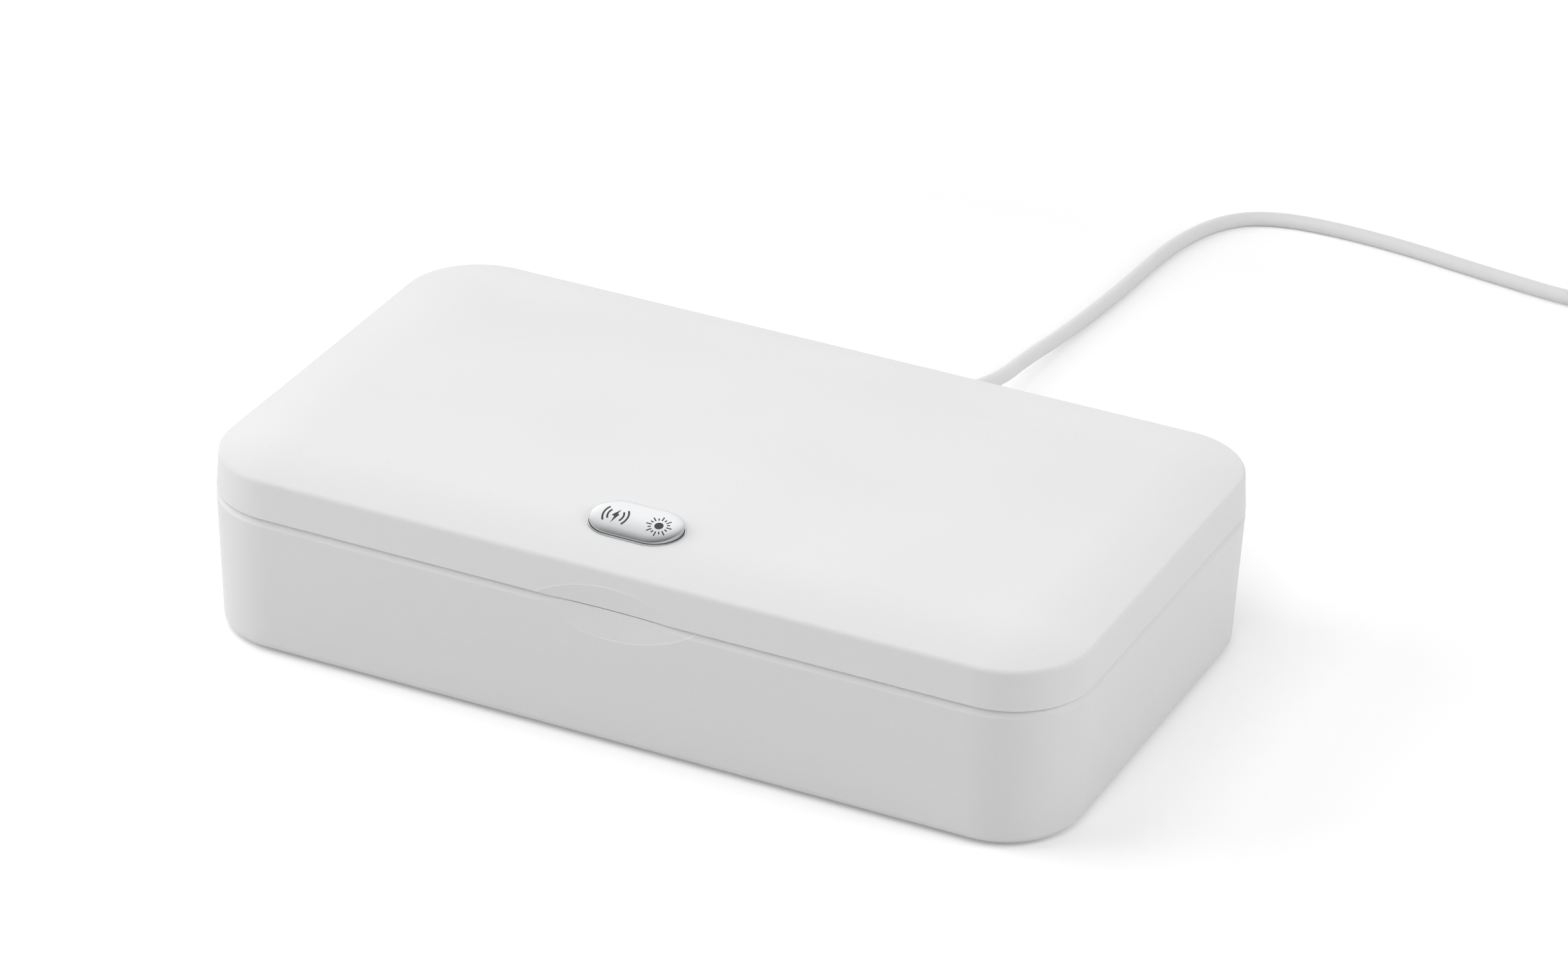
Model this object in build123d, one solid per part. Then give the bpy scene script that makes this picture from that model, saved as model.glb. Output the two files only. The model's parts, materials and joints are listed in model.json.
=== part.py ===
from build123d import *
import os
from math import cos, pi, radians, sin, tan

# A box that disinfects a phone with ultraviolet light and charges it through the lid.
# Frame: +X to the right, the front faces -Y, +Z up, z = 0 under the feet.  Millimetres.

# ---------------------------------------------------------------- outer form
box_length = 228.0
box_width = 131.4
corner_radius = 21.0
foot_proud = 1.0
base_height = 36.05
base_wall = 2.2
base_floor = 2.0
base_draft = 2.2
bottom_fillet = 2.2
rim_chamfer = 1.65
rim_slope = 27.0
parting_gap = 0.3
lid_side_height = 10.1
lid_draft = 3.7
lid_wall = 2.0
lid_edge_fillet = 1.1
lid_edge_break = 0.3
crown_rise = 2.4
crown_flat_corner = 1.0
moulded_fillet = 1.2
rib_thickness = 1.0
rib_height = 4.0
rib_pitch = 32.0
rib_front_margin = 25.7
rib_row_pitch = 16.0

# ---------------------------------------------------------------- finger scoop
scoop_radius = 37.4
scoop_lid_reach = 5.9
scoop_base_reach = 7.4
scoop_tilt = 8.0
scoop_x = 0.5

# ---------------------------------------------------------------- hinges
hinge_spacing = 124.0
hinge_barrel_radius = 2.9
hinge_pin_radius = 1.25
hinge_axis_behind = 0.3
base_knuckle_length = 10.0
lid_knuckle_length = 14.0
knuckle_gap = 0.4
knuckle_clearance = 0.45
gusset_drop = 9.0
gusset_root = 1.3
pin_running_fit = 0.06
pin_seat_fit = 0.02

# ---------------------------------------------------------------- chamber and rim
chamber_side_margin = 16.0
chamber_front_margin = 17.7
chamber_corner = 8.0
chamber_floor_z = 13.0
pan_wall = 0.8
pan_draft = 1.5
pan_flange = 3.2
pan_fillet = 3.0
frame_thickness = 2.2
frame_fit = 0.2
ledge_width = 1.3
ledge_depth = 1.6
lip_margin = 8.5
lip_thickness = 1.5
lip_height = 3.7
bumper_radius = 2.2
bumper_proud = 0.2
bumper_seat = 0.8
bumper_margin = 5.4
rest_length = 150.0
rest_width = 5.0
rest_height = 2.0
rest_offset = 30.0

# ---------------------------------------------------------------- fasteners and feet
corner_post_margin = 9.5
post_radius = 3.6
boss_height = 5.0
screw_radius = 1.3
screw_head_radius = 2.4
screw_head_height = 1.6
screw_grip = 9.0
screw_fit = 0.05
foot_radius = 5.0
foot_recess = 1.0
foot_chamfer = 0.33
socket_head_radius = 1.2
socket_head_depth = 0.8
lid_post_margin = 12.0
lid_post_radius = 3.0
lid_screw_radius = 1.0
lid_screw_head_radius = 2.0
lid_screw_reach = 2.6
lid_screw_head_height = 1.0
cross_slot = (2.4, 0.5)
cross_slot_depth = 0.5
screw_hole_extra = 1.0
magnet_size = (10.0, 4.0, 1.8)
magnet_spacing = 80.0
magnet_cup_wall = 0.8

# ---------------------------------------------------------------- lamps
lamp_end_margin = 10.0
lower_lamp_radius = 3.0
upper_lamp_radius = 1.7
lamp_glass = 0.7
lamp_cap_length = 10.0
lamp_cap_wall = 0.5
lamp_cap_depth = 7.0
lamp_fit = 0.05
lower_lamp_z = 8.4
window_clearance = 4.0
window_end_clearance = 1.5
reflector_sheet = 0.35
reflector_flange = 3.0
reflector_lower_depth = 7.4
reflector_upper_depth = 3.15
saddle_floor = 0.5
holder_length = 7.0
holder_wall = 2.4
holder_grip = 0.7
holder_mouth = 0.8
holder_ear = 2.0
guard_border = 3.0
guard_thickness = 1.2
guard_bar = 1.6
guard_bar_pitch = 13.0
guard_slot_corner = 1.5
slot_end_clearance = 1.0
wire_radius = 0.6
wire_bend = 4.0
wire_end_run = 7.0

# ---------------------------------------------------------------- lid liner
liner_fit = 0.2
liner_wall = 1.6
liner_margin = 7.5
liner_ceiling = 5.25
mirror_sheet = 0.5
upper_lamp_rear_margin = 31.7

# ---------------------------------------------------------------- charging pad
coil_radius = 25.0
coil_bore_radius = 10.0
coil_thickness = 1.2
ferrite_margin = 2.0
ferrite_thickness = 0.6
charger_board_size = (44.0, 30.0, 1.0)
charger_board_x = 62.0
coil_seat_wall = 1.2
coil_seat_fit = 0.3

# ---------------------------------------------------------------- key
key_length = 23.5
key_width = 14.3
key_x = -2.7
key_front_margin = 20.0
key_proud = 1.8
key_edge_run = 3.4
key_edge_rise = 1.3
key_crown = 0.25
key_spine_width = 0.3
key_wall = 1.2
key_gap = 0.15
key_flange = 0.8
key_flange_thickness = 0.7
key_travel = 0.5
bezel_width = 0.25
bezel_proud = 0.06
bezel_flange = 1.2
bezel_flange_thickness = 0.6
bezel_fit = 0.05
key_board_size = (30.0, 16.0, 0.8)
switch_size = (6.0, 6.0, 2.0)
switch_floor = 0.5
stem_radius = 1.75
stem_engagement = 0.6

# ---------------------------------------------------------------- control board and socket
board_size = (90.0, 32.0, 1.6)
board_rear_gap = 3.3
board_notch = (11.2, 1.5)
board_standoff = 3.0
standoff_radius = 2.5
socket_size = (9.2, 3.4, 7.4)
socket_wall = 0.3
socket_back = 1.0
socket_inset = 0.5
port_x = 0.0
port_clearance = 0.4
driver_size = (26.0, 11.0, 4.2)
driver_corner = 1.0
chip_size = (8.0, 8.0, 1.6)
small_chip_size = (5.0, 4.0, 1.3)
choke_size = (7.0, 7.0, 3.2)
charger_chip_size = (6.0, 6.0, 1.2)
charger_cell_size = (7.0, 4.0, 1.6)
lid_sensor_size = (6.0, 3.2, 1.8)

# ---------------------------------------------------------------- lead
cord_radius = 1.975
bend_share = 0.45
plug_tongue_size = (8.3, 2.5)
plug_tongue_wall = 0.35
plug_body_size = (12.0, 6.6, 20.0)
plug_gap = 0.35
plug_corner = 2.7
plug_rear_fillet = 1.4
plug_front_fillet = 0.5
tongue_depth_gap = 1.5
tongue_tip = 1.0
relief_radius = 2.9
relief_tip = 0.3
relief_grooves = 4
relief_groove_width = 1.0
relief_groove_depth = 0.35
tie_thickness = 0.5
tie_arc = 16.0
tie_angle = -62.0
tie_fit = 0.02
coil_turn_radius = 22.0
coil_shoulder = 1.4
coil_centre = (151.5, 291.0)
usb_body_size = (15.8, 7.6, 24.0)
usb_shell_size = (12.0, 4.5, 11.8)
usb_shell_wall = 0.3
usb_corner = 2.4
usb_rear_fillet = 1.6
usb_tongue_height = 1.8
usb_tongue_gap = 0.6
boot_length = 9.0
boot_overlap = 1.0
boot_tip = 0.5
boot_step = 0.6
tail_length = 22.0

# ---------------------------------------------------------------- levels and places that follow
underside_z = foot_proud
floor_z = underside_z + base_floor
rim_z = underside_z + base_height
chamfer_z = rim_z - rim_chamfer
lid_z = rim_z + parting_gap
crest_z = lid_z + lid_side_height
top_z = crest_z + crown_rise
lid_underside_z = top_z - lid_wall
frame_z = rim_z - frame_thickness
ceiling_z = lid_z + liner_ceiling
liner_top_z = ceiling_z + liner_wall
frame_margin = base_wall + frame_fit
crown_band = corner_radius - crown_flat_corner
axis_y = box_width / 2 + hinge_axis_behind
axis_z = (rim_z + lid_z) / 2
hinge_overhang = hinge_axis_behind + hinge_barrel_radius
row_shift = (0, -hinge_overhang / 2, 0)
chamber_length = box_length - 2 * chamber_side_margin
chamber_width = box_width - 2 * chamber_front_margin
lamp_length = chamber_length - 2 * lamp_end_margin
window_length = lamp_length - 2 * lamp_cap_length - 2 * window_end_clearance
board_z = floor_z + board_standoff
board_top_z = board_z + board_size[2]
port_z = board_top_z + socket_size[1] / 2
crest_margin = lid_side_height * tan(radians(lid_draft))
crown_run = crown_band - crest_margin
crown_arc = (crown_run ** 2 + crown_rise ** 2) / (2 * crown_rise)
ferrite_radius = coil_radius + ferrite_margin
upper_lamp_y = box_width / 2 - upper_lamp_rear_margin
key_y = -(box_width / 2 - key_front_margin)
key_beyond_flat = max(-key_y - (box_width / 2 - crown_band), 0)
key_surface_z = top_z - crown_arc + (crown_arc ** 2 - key_beyond_flat ** 2) ** 0.5
key_top_z = key_surface_z + key_proud
key_inside_z = key_surface_z - key_wall / 2
bezel_low_z = lid_underside_z - bezel_flange_thickness
key_flange_z = bezel_low_z - key_gap
key_low_z = key_flange_z - key_flange_thickness
upper_lamp_z = ceiling_z + saddle_floor + upper_lamp_radius + lamp_cap_wall + lamp_fit
coil_low_z = lid_underside_z - coil_thickness
charger_top_z = liner_top_z + charger_board_size[2]


# ---------------------------------------------------------------- shared forms
def outline(margin):
    """The box's plan, a rounded rectangle, moved inwards by a margin."""
    radius = max(corner_radius - margin, crown_flat_corner)
    return RectangleRounded(box_length - 2 * margin, box_width - 2 * margin, radius)


def slab(sketch, low, high, **options):
    """A plan shape raised from one level to another."""
    return extrude(Plane.XY.offset(low) * sketch, high - low, **options)


def hung(sketch, high, low, draft=0.0):
    """A plan shape drawn downwards from one level to another, narrowing by its draft."""
    face_down = Plane(origin=(0, 0, high), x_dir=(1, 0, 0), z_dir=(0, 0, -1))
    return extrude(face_down * sketch, high - low, taper=draft)


def ring(outer_margin, inner_margin, low, high):
    """A band that follows the box's plan between two margins."""
    return slab(outline(outer_margin) - outline(inner_margin), low, high)


def carried_round(profile, plan):
    """A profile, drawn inwards and up from the edge of a plan shape, carried once round it."""
    face = plan.face()
    wire = face.outer_wire()
    up = Vector(0, 0, 1)
    inward = up.cross(wire % 0)
    if not face.is_inside(wire @ 0 + inward * crown_flat_corner / 10):
        inward = inward * -1
    section = Plane(origin=wire @ 0, x_dir=inward, z_dir=inward.cross(up))
    return sweep(section * profile, path=wire)


def corner_places(margin):
    """The four points that lie a margin inside the outline on the diagonals of its corners."""
    reach = (corner_radius - margin) * sin(pi / 4)
    x = box_length / 2 - corner_radius + reach
    y = box_width / 2 - corner_radius + reach
    return [(sx * x, sy * y) for sx in (-1, 1) for sy in (-1, 1)]


def at_places(places, make):
    """One compound of the same piece at several plan places."""
    return Compound([solid for x, y in places for solid in (Pos(x, y, 0) * make).solids()])


def side_margin(z):
    """How far the outer wall lies inside the outline at a level, by the draft of its half."""
    if z < chamfer_z:
        return (chamfer_z - z) * tan(radians(base_draft))
    return max(z - lid_z, 0) * tan(radians(lid_draft))


def lid_form(margin, drop):
    """The lid's outer form, moved in by a margin and lowered: drafted side, round edge, crown."""
    top = top_z - drop
    crest = crest_z - drop
    side = margin + (crest - lid_z) * tan(radians(lid_draft))
    with BuildSketch() as profile:
        with BuildLine():
            crown = TangentArc((crown_band, top), (side, crest), tangent=(-1, 0))
            Polyline(crown @ 1, (margin, lid_z), (crown_band, lid_z), (crown_band, top))
        make_face()
        edge = profile.vertices().sort_by_distance((side, crest))[0]
        fillet(edge, max(lid_edge_fillet - margin / 2, lid_edge_fillet / 4))
    centre = slab(outline(crown_band), lid_z, top)
    return carried_round(profile.sketch, outline(0)) + centre


# ---------------------------------------------------------------- finger scoop
def scoop(edge_z, upwards):
    """A shallow cone, its axis square to the front wall, whose rim crosses the wall at edge_z."""
    lean = -base_draft if upwards else lid_draft
    normal = Vector(0, -cos(radians(lean)), sin(radians(lean)))
    wall = Plane(origin=(scoop_x, -box_width / 2 + side_margin(edge_z), edge_z), x_dir=(1, 0, 0),
                 z_dir=normal)
    depth = scoop_radius * tan(radians(scoop_tilt))
    outside = 2.0
    spread = outside / tan(radians(scoop_tilt))
    cone = Cone(1e-3, scoop_radius + spread, depth + outside)
    centre = scoop_radius if upwards else -scoop_radius
    return wall * Pos(0, centre, (outside - depth) / 2) * cone


# ---------------------------------------------------------------- hinges
def hinge_centres():
    return [-hinge_spacing / 2, hinge_spacing / 2]


def knuckle_spans(lid):
    """Where the knuckles lie along X: one in the middle for the lid, one each side for the base."""
    spans = []
    for centre in hinge_centres():
        if lid:
            spans.append((centre - lid_knuckle_length / 2, centre + lid_knuckle_length / 2))
            continue
        inner = lid_knuckle_length / 2 + knuckle_gap
        spans.append((centre - inner - base_knuckle_length, centre - inner))
        spans.append((centre + inner, centre + inner + base_knuckle_length))
    return spans


def hinge_rod(radius, low, high):
    """A round bar along the hinge axis."""
    middle = ((low + high) / 2, axis_y, axis_z)
    return Pos(middle) * Rot(0, 90, 0) * Cylinder(radius, high - low)


def knuckle(low, high, direction):
    """A hinge barrel with the gusset that carries it from the wall, down or up."""
    end_z = axis_z + direction * gusset_drop
    wall_y = box_width / 2 - side_margin(end_z)
    inside_y = box_width / 2 - gusset_root
    with BuildSketch(Plane.YZ.offset(low)) as side:
        with BuildLine():
            Polyline((axis_y + hinge_barrel_radius, axis_z), (wall_y, end_z),
                     (wall_y - gusset_root / 2, end_z), (inside_y, axis_z + direction), close=True)
        make_face()
    barrel = hinge_rod(hinge_barrel_radius, low, high)
    return extrude(side.sketch, high - low) + barrel


def hinge_relief(lid):
    """The room that one half leaves round the other half's knuckles."""
    reach = hinge_barrel_radius + knuckle_clearance
    spans = knuckle_spans(not lid)
    return [hinge_rod(reach, low - knuckle_gap, high + knuckle_gap) for low, high in spans]


def whole_hinge_relief():
    """The room that inner pieces leave round the whole of both hinges."""
    half = lid_knuckle_length / 2 + 2 * knuckle_gap + base_knuckle_length
    reach = hinge_barrel_radius + knuckle_clearance
    return [hinge_rod(reach, centre - half, centre + half) for centre in hinge_centres()]


def make_hinge_pin(centre):
    half = lid_knuckle_length / 2 + knuckle_gap + base_knuckle_length
    pin = hinge_rod(hinge_pin_radius, centre - half, centre + half)
    ends = pin.edges().filter_by(GeomType.CIRCLE)
    return chamfer(ends, hinge_pin_radius / 4)


# ---------------------------------------------------------------- base
def make_base_shell():
    body = hung(outline(0), chamfer_z, underside_z, base_draft)
    body = fillet(body.faces().sort_by(Axis.Z)[0].edges(), bottom_fillet)
    body += slab(outline(0), chamfer_z, rim_z, taper=rim_slope)
    body += [knuckle(low, high, -1) for low, high in knuckle_spans(lid=False)]
    body -= scoop(rim_z - scoop_base_reach, upwards=True)
    cavity = hung(outline(base_wall), rim_z, floor_z, base_draft)
    body -= fillet(cavity.faces().sort_by(Axis.Z)[0].edges(), moulded_fillet)
    body += ring(base_wall / 2, base_wall + ledge_width, frame_z - ledge_depth, frame_z)
    body += floor_ribs()
    head_z = underside_z + foot_recess
    boss_top = floor_z + boss_height
    for place in corner_places(corner_post_margin):
        head = Circle(screw_head_radius + screw_fit)
        body += slab(Pos(*place) * Circle(post_radius), floor_z, boss_top)
        body -= slab(Pos(*place) * Circle(foot_radius), underside_z, head_z)
        body -= slab(Pos(*place) * head, head_z, head_z + screw_head_height + screw_fit)
        body -= slab(Pos(*place) * Circle(screw_radius + screw_fit), head_z, boss_top)
    for place in standoff_places():
        body += slab(Pos(*place) * Circle(standoff_radius), floor_z, board_z)
    port = SlotOverall(socket_size[0] + 2 * port_clearance, socket_size[1] + 2 * port_clearance)
    body -= extrude(Plane(origin=(port_x, box_width / 2 - base_wall * 2, port_z), x_dir=(1, 0, 0),
                          z_dir=(0, 1, 0)) * port, base_wall * 3)
    body -= [hinge_rod(hinge_pin_radius + pin_seat_fit, low, high) for low, high in knuckle_spans(False)]
    return body - hinge_relief(lid=False)


def floor_ribs():
    """A grid of low ribs that stiffens the floor in front of the lamp."""
    length = chamber_length - 2 * corner_post_margin
    front = -(box_width / 2 - rib_front_margin)
    rows = [Pos(0, front + row * rib_row_pitch) * Rectangle(length, rib_thickness) for row in (0, 1)]
    across = GridLocations(rib_pitch, 1, int(length / rib_pitch), 1)
    column = Pos(0, front + rib_row_pitch / 2) * Rectangle(rib_thickness, 2 * rib_row_pitch)
    columns = [place * column for place in across]
    return slab(Sketch() + rows + columns, floor_z - rib_thickness / 2, floor_z + rib_height)


def board_y():
    """The control board's middle, a gap inside the rear wall."""
    return box_width / 2 - base_wall - side_margin(board_z) - board_rear_gap - board_size[1] / 2


def standoff_places():
    x = board_size[0] / 2 - standoff_radius
    y = board_size[1] / 2 - standoff_radius
    return [(sx * x, board_y() + sy * y) for sx in (-1, 1) for sy in (-1, 1)]


def chamber_plan(grow=0.0):
    """The chamber's mouth, a rounded rectangle, larger all round by grow."""
    return RectangleRounded(chamber_length + 2 * grow, chamber_width + 2 * grow, chamber_corner + grow)


def make_rim_frame():
    frame = slab(outline(frame_margin), frame_z, rim_z)
    lip = ring(lip_margin, lip_margin + lip_thickness, rim_z, rim_z + lip_height)
    frame += chamfer(lip.edges().group_by(Axis.Z)[-1], lip_thickness / 4)
    frame -= slab(chamber_plan(pan_wall + frame_fit), frame_z, rim_z)
    frame -= slab(chamber_plan(pan_flange + frame_fit), rim_z - pan_wall, rim_z)
    boss_top = floor_z + boss_height
    for place in corner_places(corner_post_margin):
        hole = Circle(screw_radius + screw_fit)
        frame += slab(Pos(*place) * Circle(post_radius), boss_top, frame_z)
        frame -= slab(Pos(*place) * hole, boss_top, boss_top + screw_grip + screw_hole_extra)
    wide, deep, high = magnet_size
    for place in magnet_places():
        cup = Pos(*place) * Rectangle(wide + 2 * magnet_cup_wall, deep + 2 * magnet_cup_wall)
        seat = Pos(*place) * Rectangle(wide + 2 * screw_fit, deep + 2 * screw_fit)
        frame += slab(cup, frame_z - high, frame_z)
        frame -= slab(seat, frame_z - high, frame_z)
    for place in bumper_places():
        frame -= slab(Pos(*place) * Circle(bumper_radius + screw_fit), rim_z - bumper_seat, rim_z)
    return frame - whole_hinge_relief()


def magnet_places():
    y = -box_width / 2 + lip_margin - lip_thickness / 2 + magnet_size[1] / 2
    return [(side * magnet_spacing / 2, y) for side in (-1, 1)]


def bumper_places():
    return corner_places(bumper_margin)


def make_chamber_pan():
    outer = hung(chamber_plan(pan_wall), rim_z, chamber_floor_z - pan_wall, pan_draft)
    outer = fillet(outer.faces().sort_by(Axis.Z)[0].edges(), pan_fillet + pan_wall)
    inner = hung(chamber_plan(), rim_z, chamber_floor_z, pan_draft)
    inner = fillet(inner.faces().sort_by(Axis.Z)[0].edges(), pan_fillet)
    pan = outer + slab(chamber_plan(pan_flange), rim_z - pan_wall, rim_z) - inner
    return pan - slab(lamp_window(lower_lamp_radius), chamber_floor_z - 2 * pan_wall, chamber_floor_z)


def make_phone_rests():
    bar = slab(SlotOverall(rest_length, rest_width), chamber_floor_z, chamber_floor_z + rest_height)
    bar = fillet(bar.faces().sort_by(Axis.Z)[-1].edges(), rest_height / 3)
    return at_places([(0, -rest_offset), (0, rest_offset)], bar)


def make_rim_bumpers():
    low = rim_z - bumper_seat
    disc = slab(Circle(bumper_radius), low, rim_z + bumper_proud)
    return at_places(bumper_places(), disc)


def make_foot(x, y):
    foot = slab(Circle(foot_radius - screw_fit), 0, underside_z + foot_recess)
    foot = chamfer(foot.faces().sort_by(Axis.Z)[0].edges(), foot_chamfer)
    return Pos(x, y, 0) * foot


def make_base_screws():
    head_z = underside_z + foot_recess
    screw = slab(Circle(screw_head_radius), head_z, head_z + screw_head_height)
    screw -= slab(RegularPolygon(socket_head_radius, 6), head_z, head_z + socket_head_depth)
    screw += slab(Circle(screw_radius), head_z + screw_head_height, floor_z + boss_height + screw_grip)
    return at_places(corner_places(corner_post_margin), screw)


def make_base_magnets():
    block = Pos(0, 0, frame_z - magnet_size[2] / 2) * Box(*magnet_size)
    return at_places(magnet_places(), block)


# ---------------------------------------------------------------- lamps
def lamp_window(radius):
    """The slot through which a lamp shines."""
    return SlotOverall(window_length, 2 * (radius + window_clearance))


def lamp_place(y, z):
    return Pos(0, y, z) * Rot(0, 90, 0)


def make_lamp_tube(radius, y, z):
    half = lamp_length / 2 - lamp_cap_length + lamp_cap_depth
    tube = Cylinder(radius, 2 * half) - Cylinder(radius - lamp_glass, 2 * half)
    return lamp_place(y, z) * tube


def make_lamp_caps(radius, y, z):
    """A metal cap over each end of the glass, with a stub of its pin."""
    outer = Cylinder(radius + lamp_cap_wall, lamp_cap_length)
    bore = Pos(0, 0, (lamp_cap_length - lamp_cap_depth) / 2) * Cylinder(radius + lamp_fit, lamp_cap_depth)
    cap = outer - bore
    middle = lamp_length / 2 - lamp_cap_length / 2
    caps = [Pos(0, 0, -middle) * cap, Pos(0, 0, middle) * Rot(180, 0, 0) * cap]
    return Compound([(lamp_place(y, z) * piece).solid() for piece in caps])


def holder_places():
    x = lamp_length / 2 - lamp_cap_length / 2
    return [(-x, 0), (x, 0)]


def make_lower_holders():
    """Snap saddles that stand on the base's floor."""
    bore = lower_lamp_radius + lamp_cap_wall + lamp_fit
    width = 2 * (bore + holder_wall)
    block = slab(Rectangle(holder_length, width), floor_z, lower_lamp_z + bore * holder_grip)
    return at_places(holder_places(), block - saddle_cut(bore, lower_lamp_z))


def make_upper_holders():
    """Saddles that hang in the liner's slot by two ears on its upper face."""
    bore = upper_lamp_radius + lamp_cap_wall + lamp_fit
    width = 2 * (upper_lamp_radius + window_clearance) - 2 * frame_fit
    block = slab(Rectangle(holder_length, width), ceiling_z, upper_lamp_z + bore * holder_grip)
    ears = Rectangle(holder_length, width + 2 * holder_ear)
    block += slab(ears, liner_top_z, liner_top_z + 2 * saddle_floor)
    block -= saddle_cut(bore, upper_lamp_z)
    return at_places([(x, upper_lamp_y) for x, _ in holder_places()], block)


def saddle_cut(bore, z):
    """The lamp's seat in a holder, with the narrower mouth that it snaps in through."""
    mouth = slab(Rectangle(holder_length, 2 * bore * holder_mouth), z, z + 2 * bore)
    return mouth + lamp_place(0, z) * Cylinder(bore, holder_length)


def make_reflector(radius, depth, y, z, direction):
    """A trough of thin sheet along the lamp, with flanges that lie on the plate round its window."""
    half = radius + window_clearance
    deep = z + direction * depth
    sheet = direction * reflector_sheet
    reach = half + reflector_flange
    with BuildSketch(Plane.YZ.offset(-window_length / 2)) as side:
        with BuildLine():
            inner = ThreePointArc((-half, z), (0, deep), (half, z))
            Polyline(inner @ 1, (reach, z), (reach, z + sheet), (half + reflector_sheet, z + sheet))
            outer = ThreePointArc((half + reflector_sheet, z + sheet), (0, deep + sheet),
                                  (-half - reflector_sheet, z + sheet))
            Polyline(outer @ 1, (-reach, z + sheet), (-reach, z), inner @ 0)
        make_face()
    return Pos(0, y, 0) * extrude(side.sketch, window_length)


def make_guard(radius, y, low, length):
    """A frame with cross bars that keeps fingers and phones off a lamp."""
    width = 2 * (radius + window_clearance)
    outer = RectangleRounded(length + 2 * guard_border, width + 2 * guard_border, guard_border)
    plate = outer - RectangleRounded(length - guard_border, width - guard_border, guard_border)
    count = int((length - guard_border) / guard_bar_pitch)
    bars = GridLocations(guard_bar_pitch, 1, count, 1) * Rectangle(guard_bar, width)
    return Pos(0, y, 0) * slab(plate + bars, low, low + guard_thickness)


def wire(points):
    """An insulated wire along straight runs with even bends."""
    line = FilletPolyline(*points, radius=wire_bend)
    return sweep(Plane(origin=line @ 0, z_dir=line % 0) * Circle(wire_radius), path=line)


def make_lower_lamp_leads():
    """From each cap of the lower lamp outwards, then back onto the ends of the control board."""
    z = board_top_z + wire_radius
    end = lamp_length / 2
    turn = end + wire_end_run
    landing = board_size[0] / 2 - wire_end_run
    places = [[(end, 0), (turn, 0), (turn, board_y()), (landing, board_y())]]
    places.append([(-x, y) for x, y in places[0]])
    return Compound([wire([(x, y, z) for x, y in points]).solid() for points in places])


def make_upper_lamp_leads():
    """From each cap of the upper lamp outwards, then over the liner onto the charger's board."""
    z = charger_top_z + wire_radius
    end = lamp_length / 2
    turn = end + wire_end_run
    landing = charger_board_x + charger_board_size[0] / 2 - wire_end_run
    front = -(ferrite_radius + coil_seat_fit + coil_seat_wall + wire_bend)
    places = [[(end, upper_lamp_y), (turn, upper_lamp_y), (turn, 0), (landing, 0)]]
    places.append([(-end, upper_lamp_y), (-turn, upper_lamp_y), (-turn, front), (charger_board_x, front),
                   (charger_board_x, -charger_board_size[1] / 4)])
    return Compound([wire([(x, y, z) for x, y in points]).solid() for points in places])


# ---------------------------------------------------------------- electronics of the base
def make_control_board():
    wide, deep, high = board_size
    plate = Pos(0, board_y()) * Rectangle(wide, deep)
    plate -= Pos(port_x, board_y() + (deep - board_notch[1]) / 2) * Rectangle(*board_notch)
    return slab(plate, board_z, board_z + high)


def on_board(centre, board, low, places):
    """Parts on a board, each at a share of the board's half length and half width from its middle."""
    parts = []
    for across, along, (wide, deep, high) in places:
        x = centre[0] + across * board[0] / 2
        y = centre[1] + along * board[1] / 2
        parts.append(slab(Pos(x, y) * Rectangle(wide, deep), low, low + high).solid())
    return Compound(parts)


def make_board_parts():
    """Chips and a choke that stand on the control board."""
    places = [(-0.66, -0.3, chip_size), (-0.34, -0.3, small_chip_size), (-0.66, 0.5, small_chip_size),
              (-0.4, 0.5, small_chip_size), (0.4, 0.45, choke_size), (0.66, 0.45, small_chip_size)]
    return on_board((0, board_y()), board_size, board_top_z, places)


def make_lamp_driver():
    """The transformer that strikes and feeds the lamps."""
    driver = on_board((0, board_y()), board_size, board_top_z, [(0.3, -0.5, driver_size)]).solid()
    return fillet(driver.edges().filter_by(Axis.Z), driver_corner)


def make_usb_socket():
    """A receptacle whose mouth looks out of the rear wall."""
    wide, high, deep = socket_size
    mouth_y = box_width / 2 - side_margin(port_z) - socket_inset
    back = Plane(origin=(port_x, mouth_y - deep, port_z), x_dir=(1, 0, 0), z_dir=(0, 1, 0))
    shell = extrude(back * SlotOverall(wide, high), deep)
    bore = SlotOverall(wide - 2 * socket_wall, high - 2 * socket_wall)
    return shell - extrude(back.offset(socket_back) * bore, deep)


def make_lid_sensor():
    x = -magnet_spacing / 4
    y = magnet_places()[0][1]
    return Pos(x, y, frame_z - lid_sensor_size[2] / 2) * Box(*lid_sensor_size)


# ---------------------------------------------------------------- lid
def make_lid_shell():
    lid = lid_form(0, 0)
    lid = chamfer(lid.faces().sort_by(Axis.Z)[0].outer_wire().edges(), lid_edge_break)
    lid += [knuckle(low, high, 1) for low, high in knuckle_spans(lid=True)]
    lid -= scoop(lid_z + scoop_lid_reach, upwards=False)
    hollow = lid_form(lid_wall, lid_wall)
    for place in corner_places(lid_post_margin):
        hollow -= slab(Pos(*place) * Circle(lid_post_radius), liner_top_z, top_z)
    seat_radius = ferrite_radius + coil_seat_fit
    seat_wall = Circle(seat_radius + coil_seat_wall) - Circle(seat_radius)
    hollow -= slab(seat_wall, coil_low_z - ferrite_thickness, top_z)
    lid -= hollow
    for place in corner_places(lid_post_margin):
        hole = Circle(lid_screw_radius + screw_fit)
        lid -= slab(Pos(*place) * hole, liner_top_z, liner_top_z + lid_screw_reach)
    opening = key_plan(key_gap + bezel_width + bezel_fit)
    lid -= slab(opening, liner_top_z, top_z)
    seat = key_plan(key_gap + bezel_width + bezel_flange + bezel_fit)
    lid -= slab(seat, liner_top_z, bezel_low_z + bezel_flange_thickness)
    lid -= [hinge_rod(hinge_pin_radius + pin_running_fit, low, high) for low, high in knuckle_spans(True)]
    return lid - hinge_relief(lid=True)


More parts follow.
